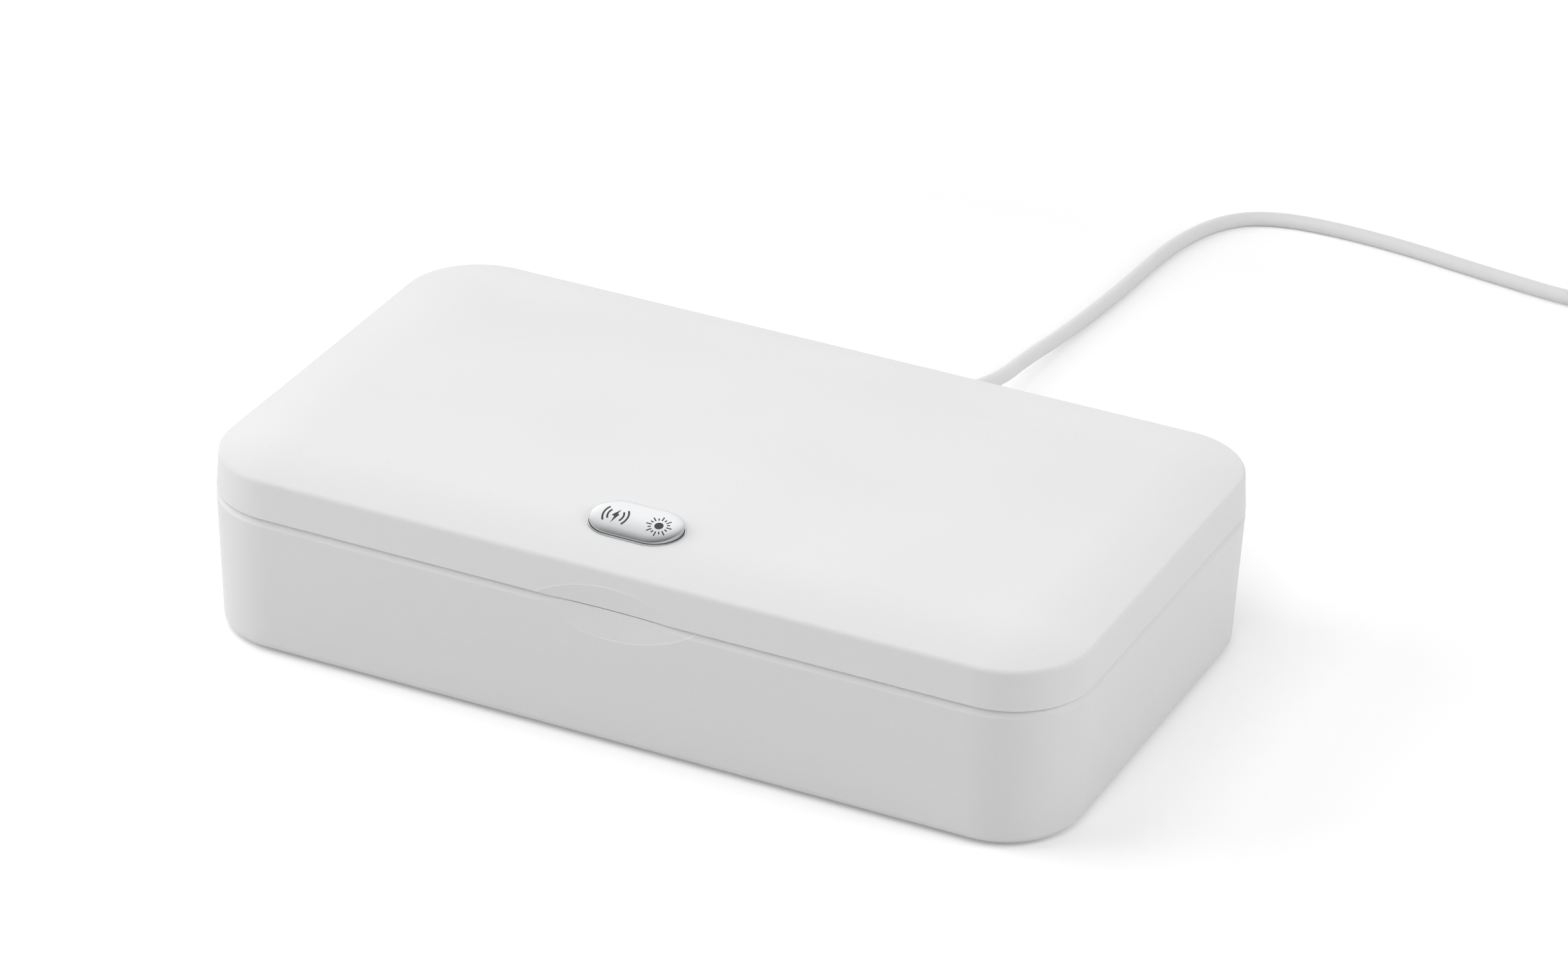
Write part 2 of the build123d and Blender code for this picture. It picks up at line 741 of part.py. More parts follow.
def make_lid_liner():
    liner = slab(outline(lid_wall + liner_fit), lid_z, lid_z + liner_wall)
    liner += slab(outline(liner_margin - liner_wall), lid_z, liner_top_z)
    liner -= slab(outline(liner_margin), lid_z, ceiling_z)
    liner -= slab(Pos(0, upper_lamp_y) * upper_slot(), ceiling_z, liner_top_z)
    for place in corner_places(lid_post_margin):
        liner -= Pos(*place) * screw_body(screw_fit, liner_top_z)
    return liner - whole_hinge_relief()


def upper_slot():
    """The slot of the lid's liner and mirror, long enough for the lamp with its caps."""
    width = 2 * (upper_lamp_radius + window_clearance)
    return RectangleRounded(lamp_length + 2 * slot_end_clearance, width, guard_slot_corner)


def make_lid_mirror():
    plan = chamber_plan() - Pos(0, upper_lamp_y) * upper_slot()
    return slab(plan, ceiling_z - mirror_sheet, ceiling_z)


def screw_body(grow, high):
    """A countersunk screw whose head lies flush under the liner, or its hole when it grows by a fit."""
    head = Cone(lid_screw_head_radius + grow, lid_screw_radius + grow, lid_screw_head_height)
    shank = slab(Circle(lid_screw_radius + grow), ceiling_z + lid_screw_head_height / 2, high)
    return Pos(0, 0, ceiling_z + lid_screw_head_height / 2) * head + shank


def make_lid_screws():
    long, narrow = cross_slot
    cross = Rectangle(long, narrow) + Rectangle(narrow, long)
    screw = screw_body(0, liner_top_z + lid_screw_reach)
    screw -= slab(cross, ceiling_z, ceiling_z + cross_slot_depth)
    return at_places(corner_places(lid_post_margin), screw)


def make_lid_magnets():
    z = lid_z + liner_wall + magnet_size[2] / 2
    outer = lid_wall + 2 * liner_fit
    inner = liner_margin - liner_wall - liner_fit
    block = Pos(0, (outer + inner - box_width) / 2, z) * Box(magnet_size[0], inner - outer, magnet_size[2])
    return at_places([(x, 0) for x, _ in magnet_places()], block)


def make_charging_coil():
    return slab(Circle(coil_radius) - Circle(coil_bore_radius), coil_low_z, lid_underside_z)


def make_ferrite_sheet():
    return slab(Circle(ferrite_radius), coil_low_z - ferrite_thickness, coil_low_z)


def make_charger_board():
    return slab(Pos(charger_board_x, 0) * Rectangle(*charger_board_size[:2]), liner_top_z, charger_top_z)


def make_charger_parts():
    """Chips and capacitors of the wireless charger."""
    places = [(-0.55, 0.4, charger_chip_size), (-0.05, 0.55, charger_cell_size),
              (-0.6, -0.5, charger_cell_size), (-0.25, -0.6, charger_chip_size),
              (0.5, -0.55, charger_cell_size)]
    return on_board((charger_board_x, 0), charger_board_size, charger_top_z, places)


# ---------------------------------------------------------------- key
def key_plan(grow=0.0):
    """The key's outline, a slot with round ends, larger all round by grow."""
    return Pos(key_x, key_y) * SlotOverall(key_length + 2 * grow, key_width + 2 * grow)


def make_key_bezel():
    outer = key_gap + bezel_width
    bezel = slab(key_plan(outer), bezel_low_z, key_surface_z + bezel_proud)
    bezel = fillet(bezel.faces().sort_by(Axis.Z)[-1].edges(), bezel_width / 3)
    bezel += slab(key_plan(outer + bezel_flange), bezel_low_z, bezel_low_z + bezel_flange_thickness)
    return bezel - slab(key_plan(key_gap), bezel_low_z, key_top_z)


def make_key_cap():
    """A hollow pillow: an elliptical edge and a low crown carried round the slot's outline."""
    spine = (key_width - key_spine_width) / 2
    shoulder_z = key_top_z - key_crown
    foot_z = shoulder_z - key_edge_rise
    with BuildSketch() as profile:
        with BuildLine():
            EllipticalCenterArc((key_edge_run, foot_z), key_edge_run, key_edge_rise,
                                start_angle=90, arc_size=90)
            Polyline((0, foot_z), (0, key_low_z), (spine, key_low_z), (spine, key_top_z))
            TangentArc((spine, key_top_z), (key_edge_run, shoulder_z), tangent=(-1, 0))
        make_face()
    cap = carried_round(profile.sketch, key_plan())
    cap += slab(key_plan(key_spine_width / 4 - spine), key_low_z, key_top_z)
    cap += slab(key_plan(key_flange), key_low_z, key_flange_z)
    return cap - slab(key_plan(-key_wall), key_low_z, key_inside_z)


def make_key_board():
    wide, deep, high = key_board_size
    return slab(Pos(key_x, key_y) * Rectangle(wide, deep), liner_top_z, liner_top_z + high)


def make_key_switch():
    wide, deep, high = switch_size
    low = liner_top_z + key_board_size[2]
    body = slab(Pos(key_x, key_y) * Rectangle(wide, deep), low, low + high)
    return body - slab(Pos(key_x, key_y) * Circle(stem_radius + key_gap), low + switch_floor, low + high)


def make_switch_stem():
    low = liner_top_z + key_board_size[2] + switch_size[2] - stem_engagement
    return slab(Pos(key_x, key_y) * Circle(stem_radius), low, key_inside_z)


# ---------------------------------------------------------------- lead
# Points of the lead's free stretch, chosen by hand, from the plug's strain relief to the coil.
lead_route = [
    (0.0, 98.6, 9.3),
    (0.0, 116.0, 9.3),
    (2.4, 137.0, 5.6),
    (6.4, 157.0, 2.8),
    (9.6, 180.0, 2.1),
    (12.7, 208.0, 2.1),
    (14.4, 238.0, 2.1),
    (16.2, 252.5, 2.1),
    (20.6, 263.8, 2.1),
    (29.2, 272.6, 2.1),
    (42.0, 276.2, 2.1),
    (68.0, 275.4, 2.1),
    (98.0, 270.0, 2.1),
    (126.0, 265.6, 2.4),
    (150.0, 265.05, 2.5),
]


def arc_radii(points):
    """The radius at each inner point whose arc takes up bend_share of the shorter run beside it."""
    radii = []
    for before, here, after in zip(points, points[1:], points[2:]):
        run_in = Vector(*here) - Vector(*before)
        run_out = Vector(*after) - Vector(*here)
        turn = radians(run_in.get_angle(run_out))
        radii.append(bend_share * min(run_in.length, run_out.length) / tan(turn / 2))
    return radii


def make_power_cord():
    line = FilletPolyline(*lead_route, radius=arc_radii(lead_route))
    section = Plane(origin=line @ 0, z_dir=line % 0) * Circle(cord_radius)
    return sweep(section, path=line)


def coil_section(grow=0.0):
    """The outline of the coiled turns, three below and two above, in the plane of radius and height."""
    half_low = 3 * cord_radius + grow
    half_top = 2 * cord_radius + grow
    low = tie_thickness - grow
    high = tie_thickness + 2 * cord_radius * (1 + sin(pi / 3)) + grow
    shoulder = tie_thickness + coil_shoulder * cord_radius
    with BuildSketch(Plane.XZ) as profile:
        with BuildLine():
            Polyline((coil_turn_radius - half_low, low), (coil_turn_radius + half_low, low),
                     (coil_turn_radius + half_low, shoulder),
                     (coil_turn_radius + half_top, high), (coil_turn_radius - half_top, high),
                     (coil_turn_radius - half_low, shoulder), close=True)
        make_face()
    return profile.sketch


def make_cord_coil():
    return Pos(*coil_centre, 0) * revolve(coil_section(), Axis.Z)


def make_cord_tie():
    """A strap round all the turns, between the coil and the table."""
    band = coil_section(tie_thickness) - coil_section(tie_fit)
    return Pos(*coil_centre, 0) * Rot(0, 0, tie_angle) * revolve(band, Axis.Z, revolution_arc=tie_arc)


def rear_face_y():
    return box_width / 2 - side_margin(port_z)


def make_plug_tongue():
    wide, high = plug_tongue_size
    reach = rear_face_y() - socket_inset - socket_size[2] + tongue_depth_gap
    back = Plane(origin=(port_x, reach, port_z), x_dir=(1, 0, 0), z_dir=(0, 1, 0))
    length = rear_face_y() + plug_gap - reach
    shell = extrude(back * SlotOverall(wide, high), length)
    bore = SlotOverall(wide - 2 * plug_tongue_wall, high - 2 * plug_tongue_wall)
    return shell - extrude(back * bore, length - tongue_tip)


def make_plug_body():
    wide, high, length = plug_body_size
    front = Plane(origin=(port_x, rear_face_y() + plug_gap, port_z), x_dir=(1, 0, 0), z_dir=(0, 1, 0))
    body = extrude(front * RectangleRounded(wide, high, plug_corner), length)
    body = fillet(body.faces().sort_by(Axis.Y)[-1].edges(), plug_rear_fillet)
    return fillet(body.faces().sort_by(Axis.Y)[0].edges(), plug_front_fillet)


def make_strain_relief():
    """A cone from the plug to the lead's first point, with grooves that let it bend."""
    low = rear_face_y() + plug_gap + plug_body_size[2]
    length = lead_route[0][1] - low
    front = Plane(origin=(port_x, low, port_z), x_dir=(1, 0, 0), z_dir=(0, 1, 0))
    tip_radius = cord_radius + relief_tip
    cone = loft([front * Circle(relief_radius), front.offset(length) * Circle(tip_radius)])
    for step in range(1, relief_grooves + 1):
        share = step / (relief_grooves + 1)
        radius = relief_radius + (tip_radius - relief_radius) * share
        groove = Circle(radius + relief_groove_depth) - Circle(radius - relief_groove_depth)
        cone -= extrude(front.offset(length * share) * groove, relief_groove_width)
    return cone


def tail_plane():
    """Where the lead leaves its coil: on its right, heading away from the front."""
    x = coil_centre[0] + coil_turn_radius + 2 * cord_radius
    return Plane(origin=(x, coil_centre[1], usb_body_size[1] / 2), x_dir=(1, 0, 0), z_dir=(0, 1, 0))


def make_cord_tail():
    return extrude(tail_plane() * Circle(cord_radius), tail_length)


def make_usb_body():
    """The moulded grip of the supply's end, with the boot that the lead enters."""
    wide, high, length = usb_body_size
    rear = tail_plane().offset(tail_length + boot_length - boot_overlap)
    body = extrude(rear * RectangleRounded(wide, high, usb_corner), length)
    body = fillet(body.faces().sort_by(Axis.Y)[0].edges(), usb_rear_fillet)
    return body + loft([tail_plane().offset(tail_length) * Circle(cord_radius + boot_tip),
                        tail_plane().offset(tail_length + boot_length) * Circle(high / 2 - boot_step)])


def make_usb_shell():
    """The steel sleeve of a type A plug and the tongue inside it."""
    wide, high, length = usb_shell_size
    front = tail_plane().offset(tail_length + boot_length - boot_overlap + usb_body_size[2])
    shell = extrude(front * Rectangle(wide, high), length)
    shell = fillet(shell.edges().filter_by(Axis.Y), usb_shell_wall)
    bore = Rectangle(wide - 2 * usb_shell_wall, high - 2 * usb_shell_wall)
    shell -= extrude(front.offset(socket_back) * bore, length)
    tongue = Rectangle(wide - 2 * usb_tongue_gap, usb_tongue_height)
    lift = (high - usb_tongue_height) / 2 - usb_tongue_gap
    return shell + extrude(front * Pos(0, lift) * tongue, length - usb_rear_fillet)


# ---------------------------------------------------------------- the nodes
def all_nodes():
    yield "base_shell", make_base_shell()
    yield "rim_frame", make_rim_frame()
    yield "chamber_pan", make_chamber_pan()
    yield "phone_rests", make_phone_rests()
    yield "rim_bumpers", make_rim_bumpers()
    for name, (x, y) in zip(("left_front", "left_rear", "right_front", "right_rear"),
                            corner_places(corner_post_margin)):
        yield "foot_" + name, make_foot(x, y)
    yield "base_screws", make_base_screws()
    yield "base_magnets", make_base_magnets()
    for name, centre in zip(("left", "right"), hinge_centres()):
        yield "hinge_pin_" + name, make_hinge_pin(centre)
    yield "lower_lamp_tube", make_lamp_tube(lower_lamp_radius, 0, lower_lamp_z)
    yield "lower_lamp_caps", make_lamp_caps(lower_lamp_radius, 0, lower_lamp_z)
    yield "lower_lamp_holders", make_lower_holders()
    yield "lower_reflector", make_reflector(lower_lamp_radius, reflector_lower_depth, 0,
                                            chamber_floor_z - pan_wall, -1)
    yield "lower_lamp_guard", make_guard(lower_lamp_radius, 0, chamber_floor_z, window_length)
    yield "lower_lamp_leads", make_lower_lamp_leads()
    yield "control_board", make_control_board()
    yield "board_parts", make_board_parts()
    yield "lamp_driver", make_lamp_driver()
    yield "usb_socket", make_usb_socket()
    yield "lid_sensor", make_lid_sensor()

    yield "lid_shell", make_lid_shell()
    yield "lid_liner", make_lid_liner()
    yield "lid_mirror", make_lid_mirror()
    yield "lid_screws", make_lid_screws()
    yield "lid_magnets", make_lid_magnets()
    yield "upper_lamp_tube", make_lamp_tube(upper_lamp_radius, upper_lamp_y, upper_lamp_z)
    yield "upper_lamp_caps", make_lamp_caps(upper_lamp_radius, upper_lamp_y, upper_lamp_z)
    yield "upper_lamp_holders", make_upper_holders()
    yield "upper_reflector", make_reflector(upper_lamp_radius, reflector_upper_depth, upper_lamp_y,
                                            liner_top_z, 1)
    yield "upper_lamp_guard", make_guard(upper_lamp_radius, upper_lamp_y,
                                         ceiling_z - mirror_sheet - guard_thickness, lamp_length)
    yield "upper_lamp_leads", make_upper_lamp_leads()
    yield "charging_coil", make_charging_coil()
    yield "ferrite_sheet", make_ferrite_sheet()
    yield "charger_board", make_charger_board()
    yield "charger_parts", make_charger_parts()
    yield "key_bezel", make_key_bezel()
    yield "key_board", make_key_board()
    yield "key_switch", make_key_switch()

    yield "key_cap", make_key_cap()
    yield "switch_stem", make_switch_stem()

    yield "plug_tongue", make_plug_tongue()
    yield "plug_body", make_plug_body()
    yield "strain_relief", make_strain_relief()
    yield "power_cord", make_power_cord()
    yield "cord_coil", make_cord_coil()
    yield "cord_tie", make_cord_tie()
    yield "cord_tail", make_cord_tail()
    yield "usb_body", make_usb_body()
    yield "usb_shell", make_usb_shell()


os.makedirs("parts", exist_ok=True)
for node, shape in all_nodes():
    export_step(Pos(*row_shift) * shape, os.path.join("parts", node + ".step"))
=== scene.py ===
# %% [markdown]
# # A box that disinfects a phone, dressed for a render
#
# The construction of the box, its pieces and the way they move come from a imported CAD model, the
# frame. This file gives each piece its real finish, adds what CAD leaves plain (the soft lead, the
# polished key and its printed signs) and sets up a small studio with a camera.
# Everything is in metres: x to the right, y away from the viewer, z up, with z = 0 on the table.

# %% load the frame
import json

import bmesh
import bpy
import numpy as np
from mathutils import Matrix, Vector


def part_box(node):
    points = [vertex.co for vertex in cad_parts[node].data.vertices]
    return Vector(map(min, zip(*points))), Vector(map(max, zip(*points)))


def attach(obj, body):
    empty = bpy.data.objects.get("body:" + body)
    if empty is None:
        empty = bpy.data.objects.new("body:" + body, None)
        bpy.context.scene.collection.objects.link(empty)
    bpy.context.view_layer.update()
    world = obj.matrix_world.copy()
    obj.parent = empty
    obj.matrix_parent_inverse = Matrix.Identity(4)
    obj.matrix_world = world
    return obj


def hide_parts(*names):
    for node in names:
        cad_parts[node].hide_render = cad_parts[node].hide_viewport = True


MM = 0.001
SAME_POINT = 0.001 * MM

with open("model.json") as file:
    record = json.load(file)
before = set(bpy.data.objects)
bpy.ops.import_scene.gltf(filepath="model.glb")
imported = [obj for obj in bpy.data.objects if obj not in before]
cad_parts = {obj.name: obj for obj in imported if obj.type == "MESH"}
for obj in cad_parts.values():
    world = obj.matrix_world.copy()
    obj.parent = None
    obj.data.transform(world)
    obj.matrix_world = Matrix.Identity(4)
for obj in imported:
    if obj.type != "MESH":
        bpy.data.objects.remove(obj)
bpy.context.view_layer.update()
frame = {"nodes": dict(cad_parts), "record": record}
nodes = frame["nodes"]
print("nodes in the frame:", len(nodes))

# %% [markdown]
# ## A few helpers
#
# A colour is easiest to pick as the hex code a screen shows, but a renderer adds up light, which is
# linear. One function converts the first into the second. A material is a graph of nodes, and one
# function adds a node with its settings and its links, so that a finish reads like a recipe. New
# shapes are grids: two parameters in, three coordinates out, all at once as numpy arrays. The last
# helpers turn such grids into one mesh and show it.


# %% colour, node and material
def linear(code):
    """An sRGB hex colour as linear RGBA: c / 12.92 when dark, else ((c + 0.055) / 1.055) ** 2.4."""
    value = np.array([int(code[i:i + 2], 16) for i in (1, 3, 5)]) / 255
    bright = ((value + 0.055) / 1.055) ** 2.4
    return (*np.where(value <= 0.04045, value / 12.92, bright), 1.0)


def add_node(tree, kind, inputs=None, **settings):
    """Adds a node. inputs maps a socket's name or number to a value, or to an output to link."""
    node = tree.nodes.new(kind)
    for name, value in settings.items():
        setattr(node, name, value)
    for key, value in (inputs or {}).items():
        if isinstance(value, bpy.types.NodeSocket):
            tree.links.new(value, node.inputs[key])
        else:
            node.inputs[key].default_value = value
    return node


def start_material(name):
    """An empty material: its graph, and the Object coordinates that its patterns read, in metres."""
    material = bpy.data.materials.new(name)
    material.use_nodes = True
    tree = material.node_tree
    tree.nodes.clear()
    return material, tree, add_node(tree, "ShaderNodeTexCoord").outputs["Object"]


def finish_material(tree, inputs):
    """Closes a material's graph with the principled shader, which most finishes share."""
    shader = add_node(tree, "ShaderNodeBsdfPrincipled", inputs)
    add_node(tree, "ShaderNodeOutputMaterial", {"Surface": shader.outputs[0]})


print("white is", linear("#FFFFFF"))


# %% grids of points as meshes
def grid_faces(rows, columns, wrap_u=False, wrap_v=False):
    """The faces of a grid. Point (u, v) has the index u * columns + v, and each cell is one face."""
    u = np.arange(rows if wrap_u else rows - 1)[:, None]
    v = np.arange(columns if wrap_v else columns - 1)[None, :]
    next_u, next_v = (u + 1) % rows, (v + 1) % columns
    corners = [u * columns + v, next_u * columns + v, next_u * columns + next_v, u * columns + next_v]
    return np.stack(np.broadcast_arrays(*corners), axis=-1).reshape(-1, 4)


def grid_piece(name, grids, wrap_u=False, wrap_v=False):
    """One mesh from arrays of points (rows u, columns v), closed along u or v where asked.

    Points that coincide, at a pole or along a seam, are merged into one."""
    points, faces, count = [], [], 0
    for grid in grids:
        points.append(grid.reshape(-1, 3))
        faces.append(grid_faces(*grid.shape[:2], wrap_u, wrap_v) + count)
        count += len(points[-1])
    mesh = bpy.data.meshes.new(name)
    mesh.from_pydata(np.concatenate(points).tolist(), [], np.concatenate(faces).tolist())
    solid = bmesh.new()
    solid.from_mesh(mesh)
    bmesh.ops.remove_doubles(solid, verts=solid.verts, dist=SAME_POINT)
    bmesh.ops.recalc_face_normals(solid, faces=solid.faces)
    solid.to_mesh(mesh)
    solid.free()
    return add_piece(name, mesh)


def add_piece(name, data):
    """An object at the world's origin that shows a mesh or a curve."""
    piece = bpy.data.objects.new(name, data)
    bpy.context.scene.collection.objects.link(piece)
    return piece


print("a tube of 12 by 5 points has", len(grid_faces(12, 5, wrap_u=True)), "faces")

# %% [markdown]
# ## The studio
#
# A small pale product shows best through a long lens from a little above, on a white sweep with
# big soft lamps, so that its edges are gentle and its shadow is only a breath. The camera is given
# by its place and by how far it turns, tilts and rolls. The table stays white where nothing shades
# it, because it glows for the camera and, less, for reflections. It glows more further out, past
# the lamps' reach.
#
# The world is white for the camera. What it lights softly gets light from behind the box alone,
# which leaves the walls that face the viewer to the lamps. What mirrors it sees a room with pale
# walls, which darken with the square of the height to a dim ceiling, and one bright window behind
# the box and to the left: a compact lobe inside a wide one, each falling as exp(fall * (cos - 1)).

# %% camera
LENS = 142.38
EYE = (0.566163, -1.189832, 0.749763)
TURN, TILT, ROLL = np.radians([24.93, 28.36, 1.685])

camera_data = bpy.data.cameras.new("camera")
camera_data.lens = LENS
camera_data.sensor_width = 36.0
camera_data.clip_end = 50.0
camera = bpy.data.objects.new("camera", camera_data)
camera.matrix_world = (Matrix.Translation(EYE) @ Matrix.Rotation(TURN, 4, "Z")
                       @ Matrix.Rotation(np.pi / 2 - TILT, 4, "X") @ Matrix.Rotation(ROLL, 4, "Z"))
bpy.context.scene.collection.objects.link(camera)
bpy.context.scene.camera = camera
bpy.context.scene.view_settings.view_transform = "Standard"
print("camera looks along", tuple(round(value, 3) for value in -camera.matrix_world.col[2].xyz))

# %% world
VIEWER_SIDE = Vector((np.sin(TURN), -np.cos(TURN), 0.0))
AMBIENT_BEHIND = 1.0
MIRROR_CEILING, MIRROR_HORIZON = 0.2, 0.85
WINDOW_LOBES = ((0.75, 14.0), (0.2, 3.0))
WINDOW_TURN, WINDOW_RISE = np.radians([37, 30])

world = bpy.data.worlds.new("studio")
bpy.context.scene.world = world
world.use_nodes = True
sky = world.node_tree
sky.nodes.clear()
direction = add_node(sky, "ShaderNodeTexCoord").outputs["Generated"]
facing = add_node(sky, "ShaderNodeVectorMath", {0: direction, 1: VIEWER_SIDE}, operation="DOT_PRODUCT")
ambient = add_node(sky, "ShaderNodeMapRange", {"Value": facing.outputs["Value"], "From Min": -1.0,
                                               "From Max": 0.0, "To Min": AMBIENT_BEHIND, "To Max": 0.0})
window = (-np.sin(WINDOW_TURN) * np.cos(WINDOW_RISE), np.cos(WINDOW_TURN) * np.cos(WINDOW_RISE),
          np.sin(WINDOW_RISE))
near = add_node(sky, "ShaderNodeVectorMath", {0: direction, 1: window}, operation="DOT_PRODUCT")
height = add_node(sky, "ShaderNodeSeparateXYZ", {0: direction})
steep = add_node(sky, "ShaderNodeMath", {0: height.outputs["Z"], 1: 2.0}, operation="POWER")
mirrored = add_node(sky, "ShaderNodeMapRange", {"Value": steep.outputs[0], "To Min": MIRROR_HORIZON,
                                                "To Max": MIRROR_CEILING}).outputs[0]
for bright, fall in WINDOW_LOBES:
    off = add_node(sky, "ShaderNodeMath", {0: near.outputs["Value"], 1: fall, 2: -fall},
                   operation="MULTIPLY_ADD")
    lobe = add_node(sky, "ShaderNodeMath", {0: off.outputs[0]}, operation="EXPONENT")
    mirrored = add_node(sky, "ShaderNodeMath", {0: lobe.outputs[0], 1: bright, 2: mirrored},
                        operation="MULTIPLY_ADD").outputs[0]
ray = add_node(sky, "ShaderNodeLightPath")
seen = add_node(sky, "ShaderNodeMath", {0: ray.outputs["Is Glossy Ray"],
                                        1: ray.outputs["Is Transmission Ray"]}, operation="MAXIMUM")
softened = add_node(sky, "ShaderNodeMix", {"Factor": seen.outputs[0], 2: ambient.outputs[0],
                                           3: mirrored})
level = add_node(sky, "ShaderNodeMix", {"Factor": ray.outputs["Is Camera Ray"],
                                        2: softened.outputs[0], 3: 1.0})
background = add_node(sky, "ShaderNodeBackground", {"Color": linear("#FFFFFF"),
                                                    "Strength": level.outputs[0]})
add_node(sky, "ShaderNodeOutputWorld", {"Surface": background.outputs[0]})
print("world:", len(sky.nodes), "nodes, window towards", np.round(window, 3))

# %% table
TABLE_GLOW = (0.22, 1.0)
TABLE_GLOW_FROM = (0.25, 0.9)
TABLE_GLOW_MIRRORED = 0.4
TABLE_SIZE = 8.0

table_paint, tree, place = start_material("table_sweep_paper")
paper = add_node(tree, "ShaderNodeBsdfDiffuse", {"Color": linear("#F2F2F2")})
away = add_node(tree, "ShaderNodeVectorMath", {0: place}, operation="LENGTH")
rise = add_node(tree, "ShaderNodeMapRange",
                {"Value": away.outputs["Value"], "From Min": TABLE_GLOW_FROM[0],
                 "From Max": TABLE_GLOW_FROM[1], "To Min": TABLE_GLOW[0], "To Max": TABLE_GLOW[1]})
glow = add_node(tree, "ShaderNodeEmission", {"Color": linear("#FFFFFF"), "Strength": rise.outputs[0]})
ray = add_node(tree, "ShaderNodeLightPath")
seen = add_node(tree, "ShaderNodeMath", {0: ray.outputs["Is Glossy Ray"], 1: TABLE_GLOW_MIRRORED,
                                         2: ray.outputs["Is Camera Ray"]}, operation="MULTIPLY_ADD")
lit = add_node(tree, "ShaderNodeAddShader", {0: paper.outputs[0], 1: glow.outputs[0]})
mixed = add_node(tree, "ShaderNodeMixShader", {0: seen.outputs[0], 1: paper.outputs[0],
                                               2: lit.outputs[0]})
add_node(tree, "ShaderNodeOutputMaterial", {"Surface": mixed.outputs[0]})

span = np.array([-TABLE_SIZE / 2, TABLE_SIZE / 2])
table_x, table_y = np.meshgrid(span, span, indexing="ij")
table = grid_piece("table", [np.stack([table_x, table_y, np.zeros_like(table_x)], axis=-1)])
table.data.materials.append(table_paint)
print("table:", TABLE_SIZE, "m across")

# %% lamps
LAMP_DISTANCE = 1.6


def soft_lamp(name, around, above, size, power):
    """A square soft box of a size in metres and a power in watts. It faces the origin from an angle
    round the front and one above the table, both in degrees."""
    data = bpy.data.lights.new(name, "AREA")
    data.shape = "SQUARE"
    data.size = size
    data.energy = power
    around, above = np.radians([around, above])
    place = LAMP_DISTANCE * Vector((np.cos(above) * np.sin(around), -np.cos(above) * np.cos(around),
                                    np.sin(above)))
    lamp = bpy.data.objects.new(name, data)
    lamp.matrix_world = Matrix.Translation(place) @ (-place).to_track_quat("-Z", "Y").to_matrix().to_4x4()
    lamp.visible_glossy = False
    bpy.context.scene.collection.objects.link(lamp)


soft_lamp("lamp_left_low", -70, 30, 1.2, 11.0)
soft_lamp("lamp_left_high", -60, 70, 0.8, 5.9)
soft_lamp("lamp_front", 20, 50, 0.8, 7.1)
soft_lamp("lamp_right_low", 100, 30, 0.8, 8.6)
print("lamps:", len(bpy.data.lights))

# %% [markdown]
# ## White ABS, moulded
#
# The housing is acrylonitrile butadiene styrene, coloured white and shot into a tool whose steel
# was spark eroded, so its skin is a fine even grain of about a third of a millimetre. The eye reads
# that as a satin surface: light spreads softly, edges stay gentle, and nothing is mirrored. The
# grain is a bump from one noise. A second, slow noise lets the gloss drift a little, as it does
# where the melt cooled at different speeds. The inner parts come from a smoother tool, so they take
# the same recipe with a finer grain and more gloss.


# %% moulded plastic
def moulded_plastic(name, colour, grain, depth, roughness, drift=0.05):
    """Moulded plastic: a grain of a given width, in metres, a bump, and a gloss that drifts slowly."""
    material, tree, place = start_material(name)
    fine = add_node(tree, "ShaderNodeTexNoise", {"Vector": place, "Scale": 1 / grain, "Detail": 2.0,
                                                 "Roughness": 0.6})
    slow = add_node(tree, "ShaderNodeTexNoise", {"Vector": place, "Scale": 1 / (40 * MM), "Detail": 1.0})
    gloss = add_node(tree, "ShaderNodeMapRange",
                     {"Value": slow.outputs["Fac"], "From Min": 0.3, "From Max": 0.7,
                      "To Min": roughness - drift, "To Max": roughness + drift})
    tone = add_node(tree, "ShaderNodeMapRange",
                    {"Value": fine.outputs["Fac"], "From Min": 0.25, "From Max": 0.75,
                     "To Min": 0.97, "To Max": 1.0})
    shade = add_node(tree, "ShaderNodeMix", {"Factor": 1.0, 6: linear(colour), 7: tone.outputs[0]},
                     data_type="RGBA", blend_type="MULTIPLY")
    bump = add_node(tree, "ShaderNodeBump", {"Height": fine.outputs["Fac"], "Strength": depth,
                                             "Distance": 0.05 * MM})
    finish_material(tree, {"Base Color": shade.outputs[2], "Roughness": gloss.outputs[0], "IOR": 1.53,
                           "Normal": bump.outputs[0]})
    return material


housing_abs = moulded_plastic("white_abs_spark_eroded", "#EAEAEA", 0.35 * MM, 0.35, 0.36)
frame_abs = moulded_plastic("white_abs_semi_gloss", "#E8E9E9", 0.2 * MM, 0.15, 0.32)
holder_pbt = moulded_plastic("ivory_pbt_moulded", "#E4E2DA", 0.3 * MM, 0.3, 0.5)
stem_pom = moulded_plastic("white_acetal_moulded", "#E6E5E0", 0.25 * MM, 0.15, 0.35)
case_epoxy = moulded_plastic("black_epoxy_moulded", "#1E1F20", 0.12 * MM, 0.4, 0.55)
ferrite = moulded_plastic("ferrite_sintered", "#2A2929", 0.5 * MM, 0.6, 0.7)
for finish in (housing_abs, frame_abs, holder_pbt, stem_pom, case_epoxy, ferrite):
    print("moulded:", finish.name)
